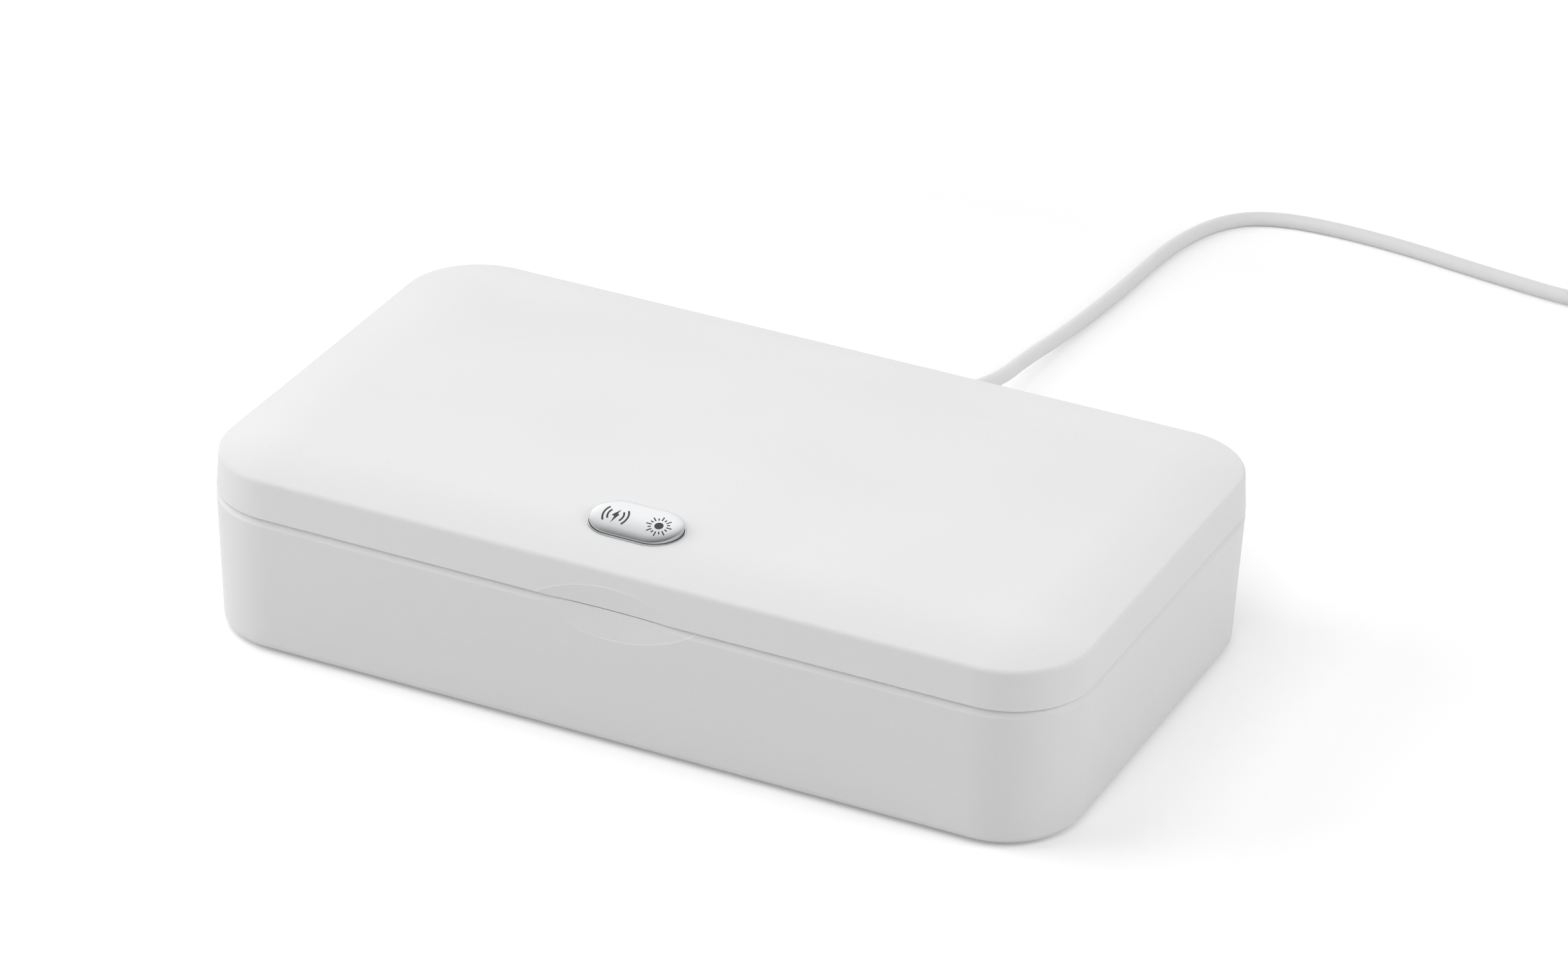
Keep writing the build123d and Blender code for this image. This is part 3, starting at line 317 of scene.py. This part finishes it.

# %% [markdown]
# A finger scoop is cut across the parting line, half in the lid and half in the base. Where its
# shallow face breaks out of the front wall, the light its edge catches is a painted highlight: a
# hairline a little lighter than the skin, painted into the colour. Each half is an arc of one radius, so
# the line is drawn where the distance from the arc's centre is near that radius, on the front wall and
# on its own side of the parting plane, and it dies away towards one end.

# %% painted highlight along the edges of the scoop
SCOOP_X, SCOOP_RADIUS = 0.5 * MM, 37.4 * MM
PARTING_Z = 37.2 * MM
FRONT_Y = -60 * MM
HAIRLINE_HALF, HAIRLINE_TONE = 0.08 * MM, 0.8

# For the base's arc and the lid's: the height of its centre, its side of the parting plane, and
# where along the wall the line starts to show and where it shows in full.
SCOOP_ARCS = ((67.05 * MM, "LESS_THAN", (-14 * MM, 0 * MM)),
              (5.85 * MM, "GREATER_THAN", (15 * MM, 2 * MM)))

tree = housing_abs.node_tree
place = next(node for node in tree.nodes if node.type == "TEX_COORD").outputs["Object"]
shader = next(node for node in tree.nodes if node.type == "BSDF_PRINCIPLED")
axes = add_node(tree, "ShaderNodeSeparateXYZ", {0: place})
flat = add_node(tree, "ShaderNodeVectorMath", {0: place, 1: (1.0, 0.0, 1.0)}, operation="MULTIPLY")
# Painted highlight: a hairline along each arc of the scoop, lighter than the skin.
painted_highlight = 0.0
for centre_z, side_of, fade in SCOOP_ARCS:
    reach = add_node(tree, "ShaderNodeVectorMath", {0: flat.outputs[0], 1: (SCOOP_X, 0.0, centre_z)},
                     operation="DISTANCE")
    close = add_node(tree, "ShaderNodeMath", {0: reach.outputs["Value"], 1: SCOOP_RADIUS,
                                              2: HAIRLINE_HALF}, operation="COMPARE")
    half = add_node(tree, "ShaderNodeMath", {0: axes.outputs["Z"], 1: PARTING_Z}, operation=side_of)
    faded = add_node(tree, "ShaderNodeMapRange",
                     {"Value": axes.outputs["X"], "From Min": fade[0], "From Max": fade[1],
                      "To Min": 0.0, "To Max": HAIRLINE_TONE})
    drawn = add_node(tree, "ShaderNodeMath", {0: close.outputs[0], 1: half.outputs[0]},
                     operation="MULTIPLY")
    painted_highlight = add_node(tree, "ShaderNodeMath", {0: drawn.outputs[0], 1: faded.outputs[0], 2: painted_highlight},
                         operation="MULTIPLY_ADD").outputs[0]
front = add_node(tree, "ShaderNodeMath", {0: axes.outputs["Y"], 1: FRONT_Y}, operation="LESS_THAN")
shown = add_node(tree, "ShaderNodeMath", {0: painted_highlight, 1: front.outputs[0]}, operation="MULTIPLY")
# The painted highlight mixes the skin's colour towards white along the scoop's edges.
skin = shader.inputs["Base Color"].links[0].from_socket
lighter = add_node(tree, "ShaderNodeMix", {"Factor": shown.outputs[0], 6: skin, 7: linear("#FFFFFF")},
                   data_type="RGBA")
tree.links.new(lighter.outputs[2], shader.inputs["Base Color"])
print("scoop arcs:", len(SCOOP_ARCS))

# %% [markdown]
# ## Metals
#
# Rolled, drawn and etched sheet shows fine lines along the way it was worked, and the lines stretch
# its highlights across. Plated parts are smoother, with a slight orange peel. Both start from the
# metal's own colour with metallic at 1 and the default IOR. The lines come from a noise that is
# squeezed across the working direction, so one recipe serves by its scale along each axis.


# %% worked metal
def worked_metal(name, colour, roughness, line, stretch, depth=0.1, drift=0.05):
    """Metal with lines of a given width, in metres, drawn out along each axis by stretch."""
    material, tree, place = start_material(name)
    drawn = add_node(tree, "ShaderNodeMapping",
                     {"Vector": place, "Scale": tuple(1 / (line * s) for s in stretch)},
                     vector_type="POINT")
    lines = add_node(tree, "ShaderNodeTexNoise", {"Vector": drawn.outputs[0], "Scale": 1.0,
                                                  "Detail": 3.0})
    cloud = add_node(tree, "ShaderNodeTexNoise", {"Vector": place, "Scale": 1 / (12 * MM), "Detail": 2.0})
    mixed_in = add_node(tree, "ShaderNodeMix", {"Factor": 0.35, 2: lines.outputs["Fac"],
                                                3: cloud.outputs["Fac"]})
    gloss = add_node(tree, "ShaderNodeMapRange",
                     {"Value": mixed_in.outputs[0], "From Min": 0.3, "From Max": 0.7,
                      "To Min": max(roughness - drift, 0.02), "To Max": roughness + drift})
    bump = add_node(tree, "ShaderNodeBump", {"Height": lines.outputs["Fac"], "Strength": depth,
                                             "Distance": 0.02 * MM})
    finish_material(tree, {"Base Color": linear(colour), "Metallic": 1.0, "Roughness": gloss.outputs[0],
                           "Normal": bump.outputs[0]})
    return material


mirror_sheet = worked_metal("aluminium_bright_rolled", "#C9CCCF", 0.12, 0.25 * MM, (60, 1, 60), 0.12)
guard_steel = worked_metal("stainless_etched_brushed", "#C9CBCC", 0.3, 0.12 * MM, (60, 1, 1), 0.35)
screw_zinc = worked_metal("steel_zinc_plated", "#BFC2C6", 0.28, 0.3 * MM, (1, 1, 1), 0.2)
pin_steel = worked_metal("stainless_drawn", "#C4C6C8", 0.22, 0.1 * MM, (60, 1, 1), 0.2)
magnet_nickel = worked_metal("nickel_plated", "#D3CFC6", 0.15, 0.4 * MM, (1, 1, 1), 0.1)
cap_nickel = worked_metal("brass_nickel_plated_drawn", "#D0CEC8", 0.2, 0.12 * MM, (1, 40, 40), 0.2)
plug_steel = worked_metal("steel_nickel_plated_rolled", "#CCCCCA", 0.24, 0.15 * MM, (1, 40, 1), 0.2)
for finish in (mirror_sheet, guard_steel, screw_zinc, pin_steel, magnet_nickel, cap_nickel, plug_steel):
    print("metal:", finish.name)

# %% [markdown]
# ## Polished chrome
#
# The key is ABS from a polished tool with an electroplated coat: copper, nickel, then a thin layer
# of chrome. It mirrors the studio, so its level top shows the bright window, and its bowed front
# shows the dim ceiling. All that keeps it from being a perfect mirror is the faint waviness of the
# moulding and a few hairline rubs from fingers.

# %% chrome
key_chrome, tree, place = start_material("chrome_electroplated_polished")
wave = add_node(tree, "ShaderNodeTexNoise", {"Vector": place, "Scale": 1 / (3 * MM), "Detail": 1.0})
rubs = add_node(tree, "ShaderNodeTexNoise", {"Vector": place, "Scale": 1 / (0.4 * MM), "Detail": 3.0,
                                             "Distortion": 1.5})
rubbed = add_node(tree, "ShaderNodeMapRange",
                  {"Value": rubs.outputs["Fac"], "From Min": 0.55, "From Max": 0.75,
                   "To Min": 0.04, "To Max": 0.12})
bump = add_node(tree, "ShaderNodeBump", {"Height": wave.outputs["Fac"], "Strength": 0.05,
                                         "Distance": 0.05 * MM})
finish_material(tree, {"Base Color": linear("#C8C9CA"), "Metallic": 1.0, "Roughness": rubbed.outputs[0],
                       "Normal": bump.outputs[0]})
print("plated:", key_chrome.name)

# %% [markdown]
# ## Soft and clear materials
#
# The bumpers, feet and phone rests are moulded silicone, a touch translucent and dull with dust.
# The lead's sheath and the overmoulded plugs are thermoplastic elastomer, extruded, so it has no
# grain but faint drawing marks. The lamps are fused quartz, which passes ultraviolet light: clear,
# with an IOR of 1.46 and the slight haze of a tube that has run for some hours.


# %% silicone, elastomer and quartz
def soft_rubber(name, colour, roughness, grain, depth, under_skin=0.0):
    """A dull elastomer: fine grain, dust that lightens it in patches, and some light under its skin."""
    material, tree, place = start_material(name)
    fine = add_node(tree, "ShaderNodeTexNoise", {"Vector": place, "Scale": 1 / grain, "Detail": 3.0})
    dust = add_node(tree, "ShaderNodeTexNoise", {"Vector": place, "Scale": 1 / (6 * MM), "Detail": 4.0})
    patches = add_node(tree, "ShaderNodeMapRange",
                       {"Value": dust.outputs["Fac"], "From Min": 0.45, "From Max": 0.8,
                        "To Min": 0.0, "To Max": 0.25})
    shade = add_node(tree, "ShaderNodeMix", {"Factor": patches.outputs[0], 6: linear(colour),
                                             7: linear("#F2F2F2")}, data_type="RGBA")
    bump = add_node(tree, "ShaderNodeBump", {"Height": fine.outputs["Fac"], "Strength": depth,
                                             "Distance": 0.05 * MM})
    finish_material(tree, {"Base Color": shade.outputs[2], "Roughness": roughness, "IOR": 1.45,
                           "Subsurface Weight": under_skin,
                           "Subsurface Radius": (1.0 * MM, 1.0 * MM, 1.0 * MM),
                           "Subsurface Scale": 1.0, "Normal": bump.outputs[0]})
    return material


silicone = soft_rubber("silicone_moulded", "#B9BCBE", 0.6, 0.25 * MM, 0.3, 0.3)
lead_tpe = soft_rubber("tpe_extruded", "#E9E9E9", 0.5, 0.15 * MM, 0.15)
plug_tpe = soft_rubber("tpe_overmoulded", "#DCDCDC", 0.55, 0.3 * MM, 0.3)
wire_silicone = soft_rubber("silicone_extruded_wire", "#E4E4E2", 0.45, 0.1 * MM, 0.1, 0.1)

quartz, tree, place = start_material("quartz_fused_drawn")
haze = add_node(tree, "ShaderNodeTexNoise", {"Vector": place, "Scale": 1 / (8 * MM), "Detail": 3.0})
film = add_node(tree, "ShaderNodeMapRange",
                {"Value": haze.outputs["Fac"], "From Min": 0.45, "From Max": 0.8,
                 "To Min": 0.01, "To Max": 0.12})
finish_material(tree, {"Base Color": linear("#F3EFFB"), "Roughness": film.outputs[0], "IOR": 1.46,
                       "Transmission Weight": 1.0})
for finish in (silicone, lead_tpe, plug_tpe, wire_silicone, quartz):
    print("soft or clear:", finish.name)

# %% [markdown]
# ## Circuit boards and the charging coil
#
# A board is glass fibre and epoxy under green solder resist, and copper tracks show through the
# resist as a lighter green. The tracks are the crests of a wavy band pattern, each a little
# narrower than its gap, and the plated pads are the middles of a Voronoi pattern's cells, which is
# enough for pieces that are seen through gaps. The coil is enamelled copper wire wound flat, so its
# pattern is rings about its own centre, a wire apart. A wave texture of scale 1 repeats after a
# tenth of pi.

# %% boards and coil
WAVE_LENGTH = np.pi / 10
TRACK = 0.9 * MM
PAD_SPACING = 7 * MM
TRACK_LEVEL, PAD_REACH = 0.62, 0.12
WIRE = 0.9 * MM

board_fr4, tree, place = start_material("fr4_green_resist")
cells = add_node(tree, "ShaderNodeTexVoronoi", {"Vector": place, "Scale": 1 / PAD_SPACING},
                 distance="CHEBYCHEV")
lines = add_node(tree, "ShaderNodeTexWave",
                 {"Vector": place, "Scale": WAVE_LENGTH / (2 * TRACK), "Distortion": 3.0,
                  "Detail Scale": 0.4}, bands_direction="X")
track = add_node(tree, "ShaderNodeMath", {0: lines.outputs["Fac"], 1: TRACK_LEVEL},
                 operation="GREATER_THAN")
pads = add_node(tree, "ShaderNodeMath", {0: cells.outputs["Distance"], 1: PAD_REACH},
                operation="LESS_THAN")
resist = add_node(tree, "ShaderNodeMix", {"Factor": track.outputs[0], 6: linear("#14593A"),
                                          7: linear("#1E7348")}, data_type="RGBA")
plated = add_node(tree, "ShaderNodeMix", {"Factor": pads.outputs[0], 6: resist.outputs[2],
                                          7: linear("#B9B6A6")}, data_type="RGBA")
raised = add_node(tree, "ShaderNodeBump", {"Height": track.outputs[0], "Strength": 0.3,
                                           "Distance": 0.04 * MM})
finish_material(tree, {"Base Color": plated.outputs[2], "Roughness": 0.3, "Metallic": pads.outputs[0],
                       "Normal": raised.outputs[0]})

coil_low, coil_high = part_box("charging_coil")
coil_copper, tree, place = start_material("copper_enamelled_wound")
centred = add_node(tree, "ShaderNodeMapping", {"Vector": place,
                                               "Location": tuple(-(coil_low + coil_high) / 2)})
turns = add_node(tree, "ShaderNodeTexWave", {"Vector": centred.outputs[0], "Scale": WAVE_LENGTH / WIRE},
                 wave_type="RINGS", rings_direction="Z")
copper = add_node(tree, "ShaderNodeMix", {"Factor": turns.outputs["Fac"], 6: linear("#7A3A1E"),
                                          7: linear("#D98A58")}, data_type="RGBA")
rounded = add_node(tree, "ShaderNodeBump", {"Height": turns.outputs["Fac"], "Strength": 0.8,
                                            "Distance": 0.3 * MM})
finish_material(tree, {"Base Color": copper.outputs[2], "Metallic": 1.0, "Roughness": 0.3,
                       "Normal": rounded.outputs[0]})
for finish in (board_fr4, coil_copper):
    print("patterned:", finish.name)

# %% [markdown]
# ## The strap round the coiled lead
#
# A strip of woven hook and loop tape: black nylon, ribbed across by its weft, with a dull fuzz. A
# rib and the gap beside it are each 0.6 mm wide.

# %% woven strap
RIB = 0.6 * MM

strap_nylon, tree, place = start_material("nylon_hook_and_loop_woven")
weft = add_node(tree, "ShaderNodeTexWave",
                {"Vector": place, "Scale": WAVE_LENGTH / (2 * RIB), "Distortion": 0.6,
                 "Detail": 1.0}, bands_direction="Z")
fuzz = add_node(tree, "ShaderNodeTexNoise", {"Vector": place, "Scale": 1 / (0.15 * MM), "Detail": 4.0})
thread = add_node(tree, "ShaderNodeMix", {"Factor": fuzz.outputs["Fac"], 6: linear("#141415"),
                                          7: linear("#3A3A3C")}, data_type="RGBA")
ribbed = add_node(tree, "ShaderNodeMix", {"Factor": 0.4, 2: weft.outputs["Fac"], 3: fuzz.outputs["Fac"]})
bump = add_node(tree, "ShaderNodeBump", {"Height": ribbed.outputs[0], "Strength": 0.7,
                                         "Distance": 0.2 * MM})
finish_material(tree, {"Base Color": thread.outputs[2], "Roughness": 0.85, "Sheen Weight": 0.3,
                       "Normal": bump.outputs[0]})
print("woven:", strap_nylon.name)

# %% finishes onto the frame's nodes
FINISH = {"housing_white": housing_abs, "frame_white": frame_abs, "mirror_aluminium": mirror_sheet,
          "guard_steel": guard_steel, "silicone_grey": silicone, "fastener_steel": screw_zinc,
          "magnet_nickel": magnet_nickel, "quartz_glass": quartz, "lamp_cap_metal": cap_nickel,
          "holder_white": holder_pbt, "wire_white": wire_silicone, "board_green": board_fr4,
          "component_black": case_epoxy, "switch_stem_white": stem_pom, "connector_nickel": plug_steel,
          "coil_copper": coil_copper, "ferrite_black": ferrite, "key_chrome": key_chrome,
          "lead_grey": plug_tpe, "tie_black": strap_nylon}

for part in frame["record"]["subparts"]:
    data = nodes[part["node"]].data
    for index in range(len(data.materials)):
        data.materials[index] = FINISH[part["material_slot"]]
for name in ("hinge_pin_left", "hinge_pin_right"):
    nodes[name].data.materials[0] = pin_steel

# %% [markdown]
# ## The lead
#
# A USB lead is limp enough to follow the table and stiff enough to leave its plug straight. Its
# centreline is one smooth spline of order 3: it is drawn towards its points without touching them,
# so a few points make an even curve. The free stretch is a short list of points, in metres. The
# rest is wound as it comes out of a packing bag: nearly three turns side by side on the table, then
# one and a half in the grooves between them, and out over the edge to the plug. Each turn is worked
# out from its angle.

# %% the free stretch
ROUTE = [
    (0.0, 0.0970, 0.0093),
    (0.0, 0.1090, 0.0093),
    (0.0048, 0.1240, 0.0083),
    (0.0094, 0.1400, 0.0062),
    (0.0089, 0.1580, 0.0040),
    (0.0109, 0.1784, 0.0024),
    (0.0135, 0.2064, 0.0021),
    (0.0149, 0.2364, 0.0021),
    (0.0171, 0.2500, 0.0021),
    (0.0209, 0.2612, 0.0021),
    (0.0281, 0.2702, 0.0021),
    (0.0420, 0.2746, 0.0021),
    (0.0680, 0.2738, 0.0021),
    (0.0980, 0.2684, 0.0021),
    (0.1260, 0.2640, 0.0024),
]
print("free stretch:", len(ROUTE), "points")

# %% the coil's turns
CORD_RADIUS = 1.975 * MM
TIE = 0.5 * MM
COIL_CENTRE = (0.1515, 0.2894)
MID_RADIUS = 22.0 * MM
STEP = 2 * CORD_RADIUS
LOW = TIE + CORD_RADIUS
HIGH = LOW + STEP * np.sin(np.pi / 3)
POINTS_PER_TURN = 18

# Where the lead lies as it winds: its angle in degrees, its radius and its height.
COIL_STATIONS = np.array([
    (-90, MID_RADIUS + STEP, LOW), (185, MID_RADIUS + STEP, LOW), (240, MID_RADIUS, LOW),
    (545, MID_RADIUS, LOW), (600, MID_RADIUS - STEP, LOW), (865, MID_RADIUS - STEP, LOW),
    (905, MID_RADIUS - STEP, HIGH), (960, MID_RADIUS - STEP / 2, HIGH),
    (1200, MID_RADIUS - STEP / 2, HIGH), (1245, MID_RADIUS + STEP * 0.4, HIGH),
    (1297, MID_RADIUS + STEP * 0.4, HIGH + 0.4 * MM), (1325, MID_RADIUS + STEP / 2, HIGH),
    (1395, MID_RADIUS + STEP / 2, HIGH), (1430, MID_RADIUS + STEP, LOW + STEP)])


def coil_points():
    """Points on the turns: centre + radius * (cos, sin), where the radius and the height follow the
    stations. A spline of order 3 cuts each corner by cos(half a step), so the radius is enlarged."""
    step = 360 / POINTS_PER_TURN
    at, radii, heights = COIL_STATIONS.T
    angle = np.arange(at[0] + step, at[-1] + 1, step)
    radius = np.interp(angle, at, radii) / np.cos(np.radians(step / 2))
    height = np.interp(angle, at, heights)
    turn = np.radians(angle)
    return np.stack([COIL_CENTRE[0] + radius * np.cos(turn),
                     COIL_CENTRE[1] + radius * np.sin(turn), height], -1)


TURNS = coil_points()
print("coil:", len(TURNS), "points,", round(len(TURNS) / POINTS_PER_TURN, 1), "turns")

# %% the tail and the whole lead
boot_low, boot_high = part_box("usb_body")
tail_x = (boot_low.x + boot_high.x) / 2
tail_z = (boot_low.z + boot_high.z) / 2
TAIL = [(tail_x, COIL_CENTRE[1] + 6 * MM, LOW + STEP),
        (tail_x, boot_low.y - 9 * MM, LOW + STEP * 0.8),
        (tail_x, boot_low.y - 4 * MM, tail_z + 0.3 * MM),
        (tail_x, boot_low.y - 1 * MM, tail_z),
        (tail_x, boot_low.y + 1 * MM, tail_z)]

centreline = np.concatenate([ROUTE, TURNS, TAIL])
lead_curve = bpy.data.curves.new("lead", "CURVE")
lead_curve.dimensions = "3D"
lead_curve.bevel_depth = CORD_RADIUS
lead_curve.bevel_resolution = 5
lead_curve.resolution_u = 8
lead_curve.use_fill_caps = True
spline = lead_curve.splines.new("NURBS")
spline.points.add(len(centreline) - 1)
spline.points.foreach_set("co", np.column_stack([centreline, np.ones(len(centreline))]).ravel())
spline.order_u = 3
spline.use_endpoint_u = True
lead = add_piece("usb_lead", lead_curve)
lead_curve.materials.append(lead_tpe)
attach(lead, "base")
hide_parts("power_cord", "cord_coil", "cord_tail")

# %% [markdown]
# ## The key
#
# The key is one long pillow under a polished plating, and a mirror shows every flat facet, so it is
# a surface of its own. Its outline is a slot with round ends: a short spine with everything within
# one radius of it. One parameter runs round the outline and the other runs inwards over the top.
# The top is level at the back and bows down, as a parabola, towards the user's finger and a little
# towards the round ends. A superellipse rolls its edge over. The skirt under the edge flares by its
# draft as it goes down into the lid, and it comes back up inside, because the cap is a hollow
# moulding.

# %% the pillow's form
KEY_FLANGE = 0.8 * MM
KEY_WALL = 1.2 * MM
KEY_TOP_WALL = 0.5 * MM
KEY_DRAFT = 0.1 * MM
KEY_EDGE_RUN = 2.5 * MM
KEY_EDGE_RISE = 0.35 * MM
KEY_FALL = 1.2 * MM
KEY_RIDGE = 0.35
KEY_ENDS = 0.12
KEY_POWER = 2.2
KEY_HALF_STEPS, KEY_TOP_STEPS = 48, 40

cap_low, cap_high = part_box("key_cap")
key_middle = (cap_low + cap_high) / 2
key_radius = (cap_high.y - cap_low.y) / 2 - KEY_FLANGE
key_spine = (cap_high.x - cap_low.x) / 2 - KEY_FLANGE - key_radius


def key_height(x, y):
    """Height of the cap's top: crest - fall * s**2 - rise * (1 - (1 - t**p)**(1/p)).

    s grows from 0 at the ridge, a share of the radius behind the middle, to 1 at the front, and a
    little towards the round ends. t is 1 at the outline and falls to 0 where the edge's roll ends."""
    along = np.maximum(np.abs(x - key_middle.x) - key_spine, 0) / key_radius
    front = (key_middle.y - y) / key_radius
    s = np.clip((KEY_RIDGE + front + KEY_ENDS * along ** 2) / (KEY_RIDGE + 1), 0, 1)
    inset = key_radius * (1 - np.hypot(along, front))
    t = 1 - np.clip(inset / KEY_EDGE_RUN, 0, 1)
    roll = 1 - (1 - t ** KEY_POWER) ** (1 / KEY_POWER)
    return cap_high.z - KEY_FALL * s ** 2 - KEY_EDGE_RISE * roll


def slot_outline(steps):
    """Points on the spine and directions outwards from it, once round a slot, evenly by direction."""
    turn = np.linspace(-np.pi / 2, np.pi / 2, steps)
    turn = np.concatenate([turn, turn + np.pi])
    side = np.where(np.arange(2 * steps) < steps, key_spine, -key_spine)
    return side, np.cos(turn), np.sin(turn)


print("key's radius and half spine:", round(key_radius, 5), round(key_spine, 5), "m")

# %% the cap
side, out_x, out_y = [values[:, None] for values in slot_outline(KEY_HALF_STEPS)]
blend = np.linspace(0, np.pi / 2, KEY_TOP_STEPS)
top_inset = key_radius * (1 - np.cos(blend))[None, :]
under_z = cap_high.z - KEY_EDGE_RISE - KEY_FALL - KEY_TOP_WALL
inner_inset = np.array([[key_radius, KEY_WALL, KEY_WALL, -KEY_DRAFT]])
inner_z = np.array([[under_z, under_z, cap_low.z, cap_low.z]])
reach = key_radius - np.concatenate([inner_inset, top_inset], axis=1)
x, y = key_middle.x + side + out_x * reach, key_middle.y + out_y * reach
top_z = key_height(x[:, inner_z.size:], y[:, inner_z.size:])
z = np.concatenate([np.broadcast_to(inner_z, (len(x), inner_z.size)), top_z], axis=1)
cap_points = np.stack([x, y, z], axis=-1)
key_cap = grid_piece("polished_key", [cap_points], wrap_u=True)
key_cap.data.shade_smooth()
key_cap.data.materials.append(key_chrome)
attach(key_cap, "button")
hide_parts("key_cap")
print("key:", len(key_cap.data.polygons), "faces")

# %% [markdown]
# ## The printed signs
#
# Two signs are pad printed on the key: a bolt between waves for charging, and a sun for the lamp.
# A pad presses ink onto a curved face, so each sign is drawn flat, in millimetres about its own
# middle, stretched and leant a little as the print is, and then draped: a point takes its height
# from the cap's formula plus the film's thickness. Strokes are cut square.

# %% ink
ink, tree, place = start_material("pad_printing_ink_dark")
grain = add_node(tree, "ShaderNodeTexNoise", {"Vector": place, "Scale": 1 / (0.08 * MM),
                                              "Detail": 2.0})
tone = add_node(tree, "ShaderNodeMix", {"Factor": grain.outputs["Fac"], 6: linear("#242425"),
                                        7: linear("#353536")}, data_type="RGBA")
bump = add_node(tree, "ShaderNodeBump", {"Height": grain.outputs["Fac"], "Strength": 0.2,
                                         "Distance": 0.01 * MM})
finish_material(tree, {"Base Color": tone.outputs[2], "Roughness": 0.55, "Normal": bump.outputs[0]})
print("printed:", ink.name)

# %% draping
FILM = 0.02 * MM
LEAN = -0.14
ACROSS = np.array([-1.0, -0.5, 0.0, 0.5, 1.0])
END_GAP = 0.002
RAY_STEPS, WAVE_STEPS, BOLT_STEPS, RING_STEPS, DISC_STEPS = 6, 24, 25, 49, 5


def drape(x, y, middle, stretch):
    """A closed film over the flat points (x, y), arrays of rows and columns in millimetres: the
    columns go over the top and, sunk into the cap, back. y grows by stretch, x leans by LEAN."""
    y = y * stretch
    x = middle[0] + (x + LEAN * y) * MM
    y = middle[1] + y * MM
    top = key_height(x, y)
    over = np.stack([x, y, top + FILM], axis=-1)
    back = np.stack([x, y, top - FILM], axis=-1)
    return np.concatenate([over, back[:, ::-1]], axis=1)


def stroke(x, y, width):
    """Flat points of a stroke along a path: half the width to each side, and none at its ends."""
    path = np.stack([x, y], axis=-1)
    ahead = np.gradient(path, axis=0)
    ahead /= np.linalg.norm(ahead, axis=1, keepdims=True)
    half = np.full(len(path), width / 2)
    half[[0, -1]] = 0
    offset = half[:, None] * ACROSS[None, :]
    return x[:, None] - ahead[:, 1:] * offset, y[:, None] + ahead[:, :1] * offset


def stations(count):
    """Shares of a path's length, with one close to each end, where a stroke is cut square."""
    return np.concatenate([[0], np.linspace(END_GAP, 1 - END_GAP, count), [1]])


print("stations of a ray:", stations(RAY_STEPS).round(3))

# %% the signs
SIGN_SPREAD = 5.68 * MM
SIGN_SHIFT = (0.4 * MM, -0.58 * MM)
SUN_STRETCH, BOLT_STRETCH = 1.22, 1.45
SUN_RADIUS, RAY_START, RAY_ENDS, RAYS, RAY_WIDTH = 1.13, 1.9, (3.3, 2.72), 16, 0.34
WAVE_RADII, WAVE_ANGLE, WAVE_WIDTH = (1.975, 3.12), np.radians(40), 0.48
BOLT_LEFT = np.array([(0.6, 1.85), (-0.96, -0.22), (-0.19, -0.38), (-0.28, -2.25)])
BOLT_RIGHT = np.array([(0.6, 1.85), (0.34, 0.49), (0.84, 0.32), (-0.28, -2.25)])

signs_x, signs_y = key_middle.x + SIGN_SHIFT[0], key_middle.y + SIGN_SHIFT[1]
bolt_middle = (signs_x - SIGN_SPREAD, signs_y)
sun_middle = (signs_x + SIGN_SPREAD, signs_y)

turn = np.linspace(0, 2 * np.pi, RING_STEPS)[:, None]
ring = SUN_RADIUS * np.linspace(0, 1, DISC_STEPS)[None, :]
sun = [drape(ring * np.cos(turn), ring * np.sin(turn), sun_middle, SUN_STRETCH)]
for index in range(RAYS):
    angle = 2 * np.pi * index / RAYS
    reach = RAY_START + (RAY_ENDS[index % 2] - RAY_START) * stations(RAY_STEPS)
    ray = stroke(reach * np.cos(angle), reach * np.sin(angle), RAY_WIDTH)
    sun.append(drape(*ray, sun_middle, SUN_STRETCH))

charging = []
for radius in WAVE_RADII:
    for facing in (0, np.pi):
        angle = facing + WAVE_ANGLE * (2 * stations(WAVE_STEPS) - 1)
        wave = stroke(radius * np.cos(angle), radius * np.sin(angle), WAVE_WIDTH)
        charging.append(drape(*wave, bolt_middle, BOLT_STRETCH))
even = np.linspace(*BOLT_LEFT[[0, -1], 1], BOLT_STEPS)
level = np.unique(np.concatenate([BOLT_LEFT[:, 1], BOLT_RIGHT[:, 1], even]))
left, right = [np.interp(level, chain[::-1, 1], chain[::-1, 0])[:, None]
               for chain in (BOLT_LEFT, BOLT_RIGHT)]
bolt_x = left + (right - left) * (ACROSS[None, :] + 1) / 2
charging.append(drape(bolt_x, np.broadcast_to(level[:, None], bolt_x.shape), bolt_middle, BOLT_STRETCH))

for name, grids in (("lamp_sign", sun), ("charging_sign", charging)):
    sign = grid_piece(name, grids, wrap_v=True)
    sign.data.materials.append(ink)
    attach(sign, "button")
    print(name, len(sign.data.polygons), "faces")
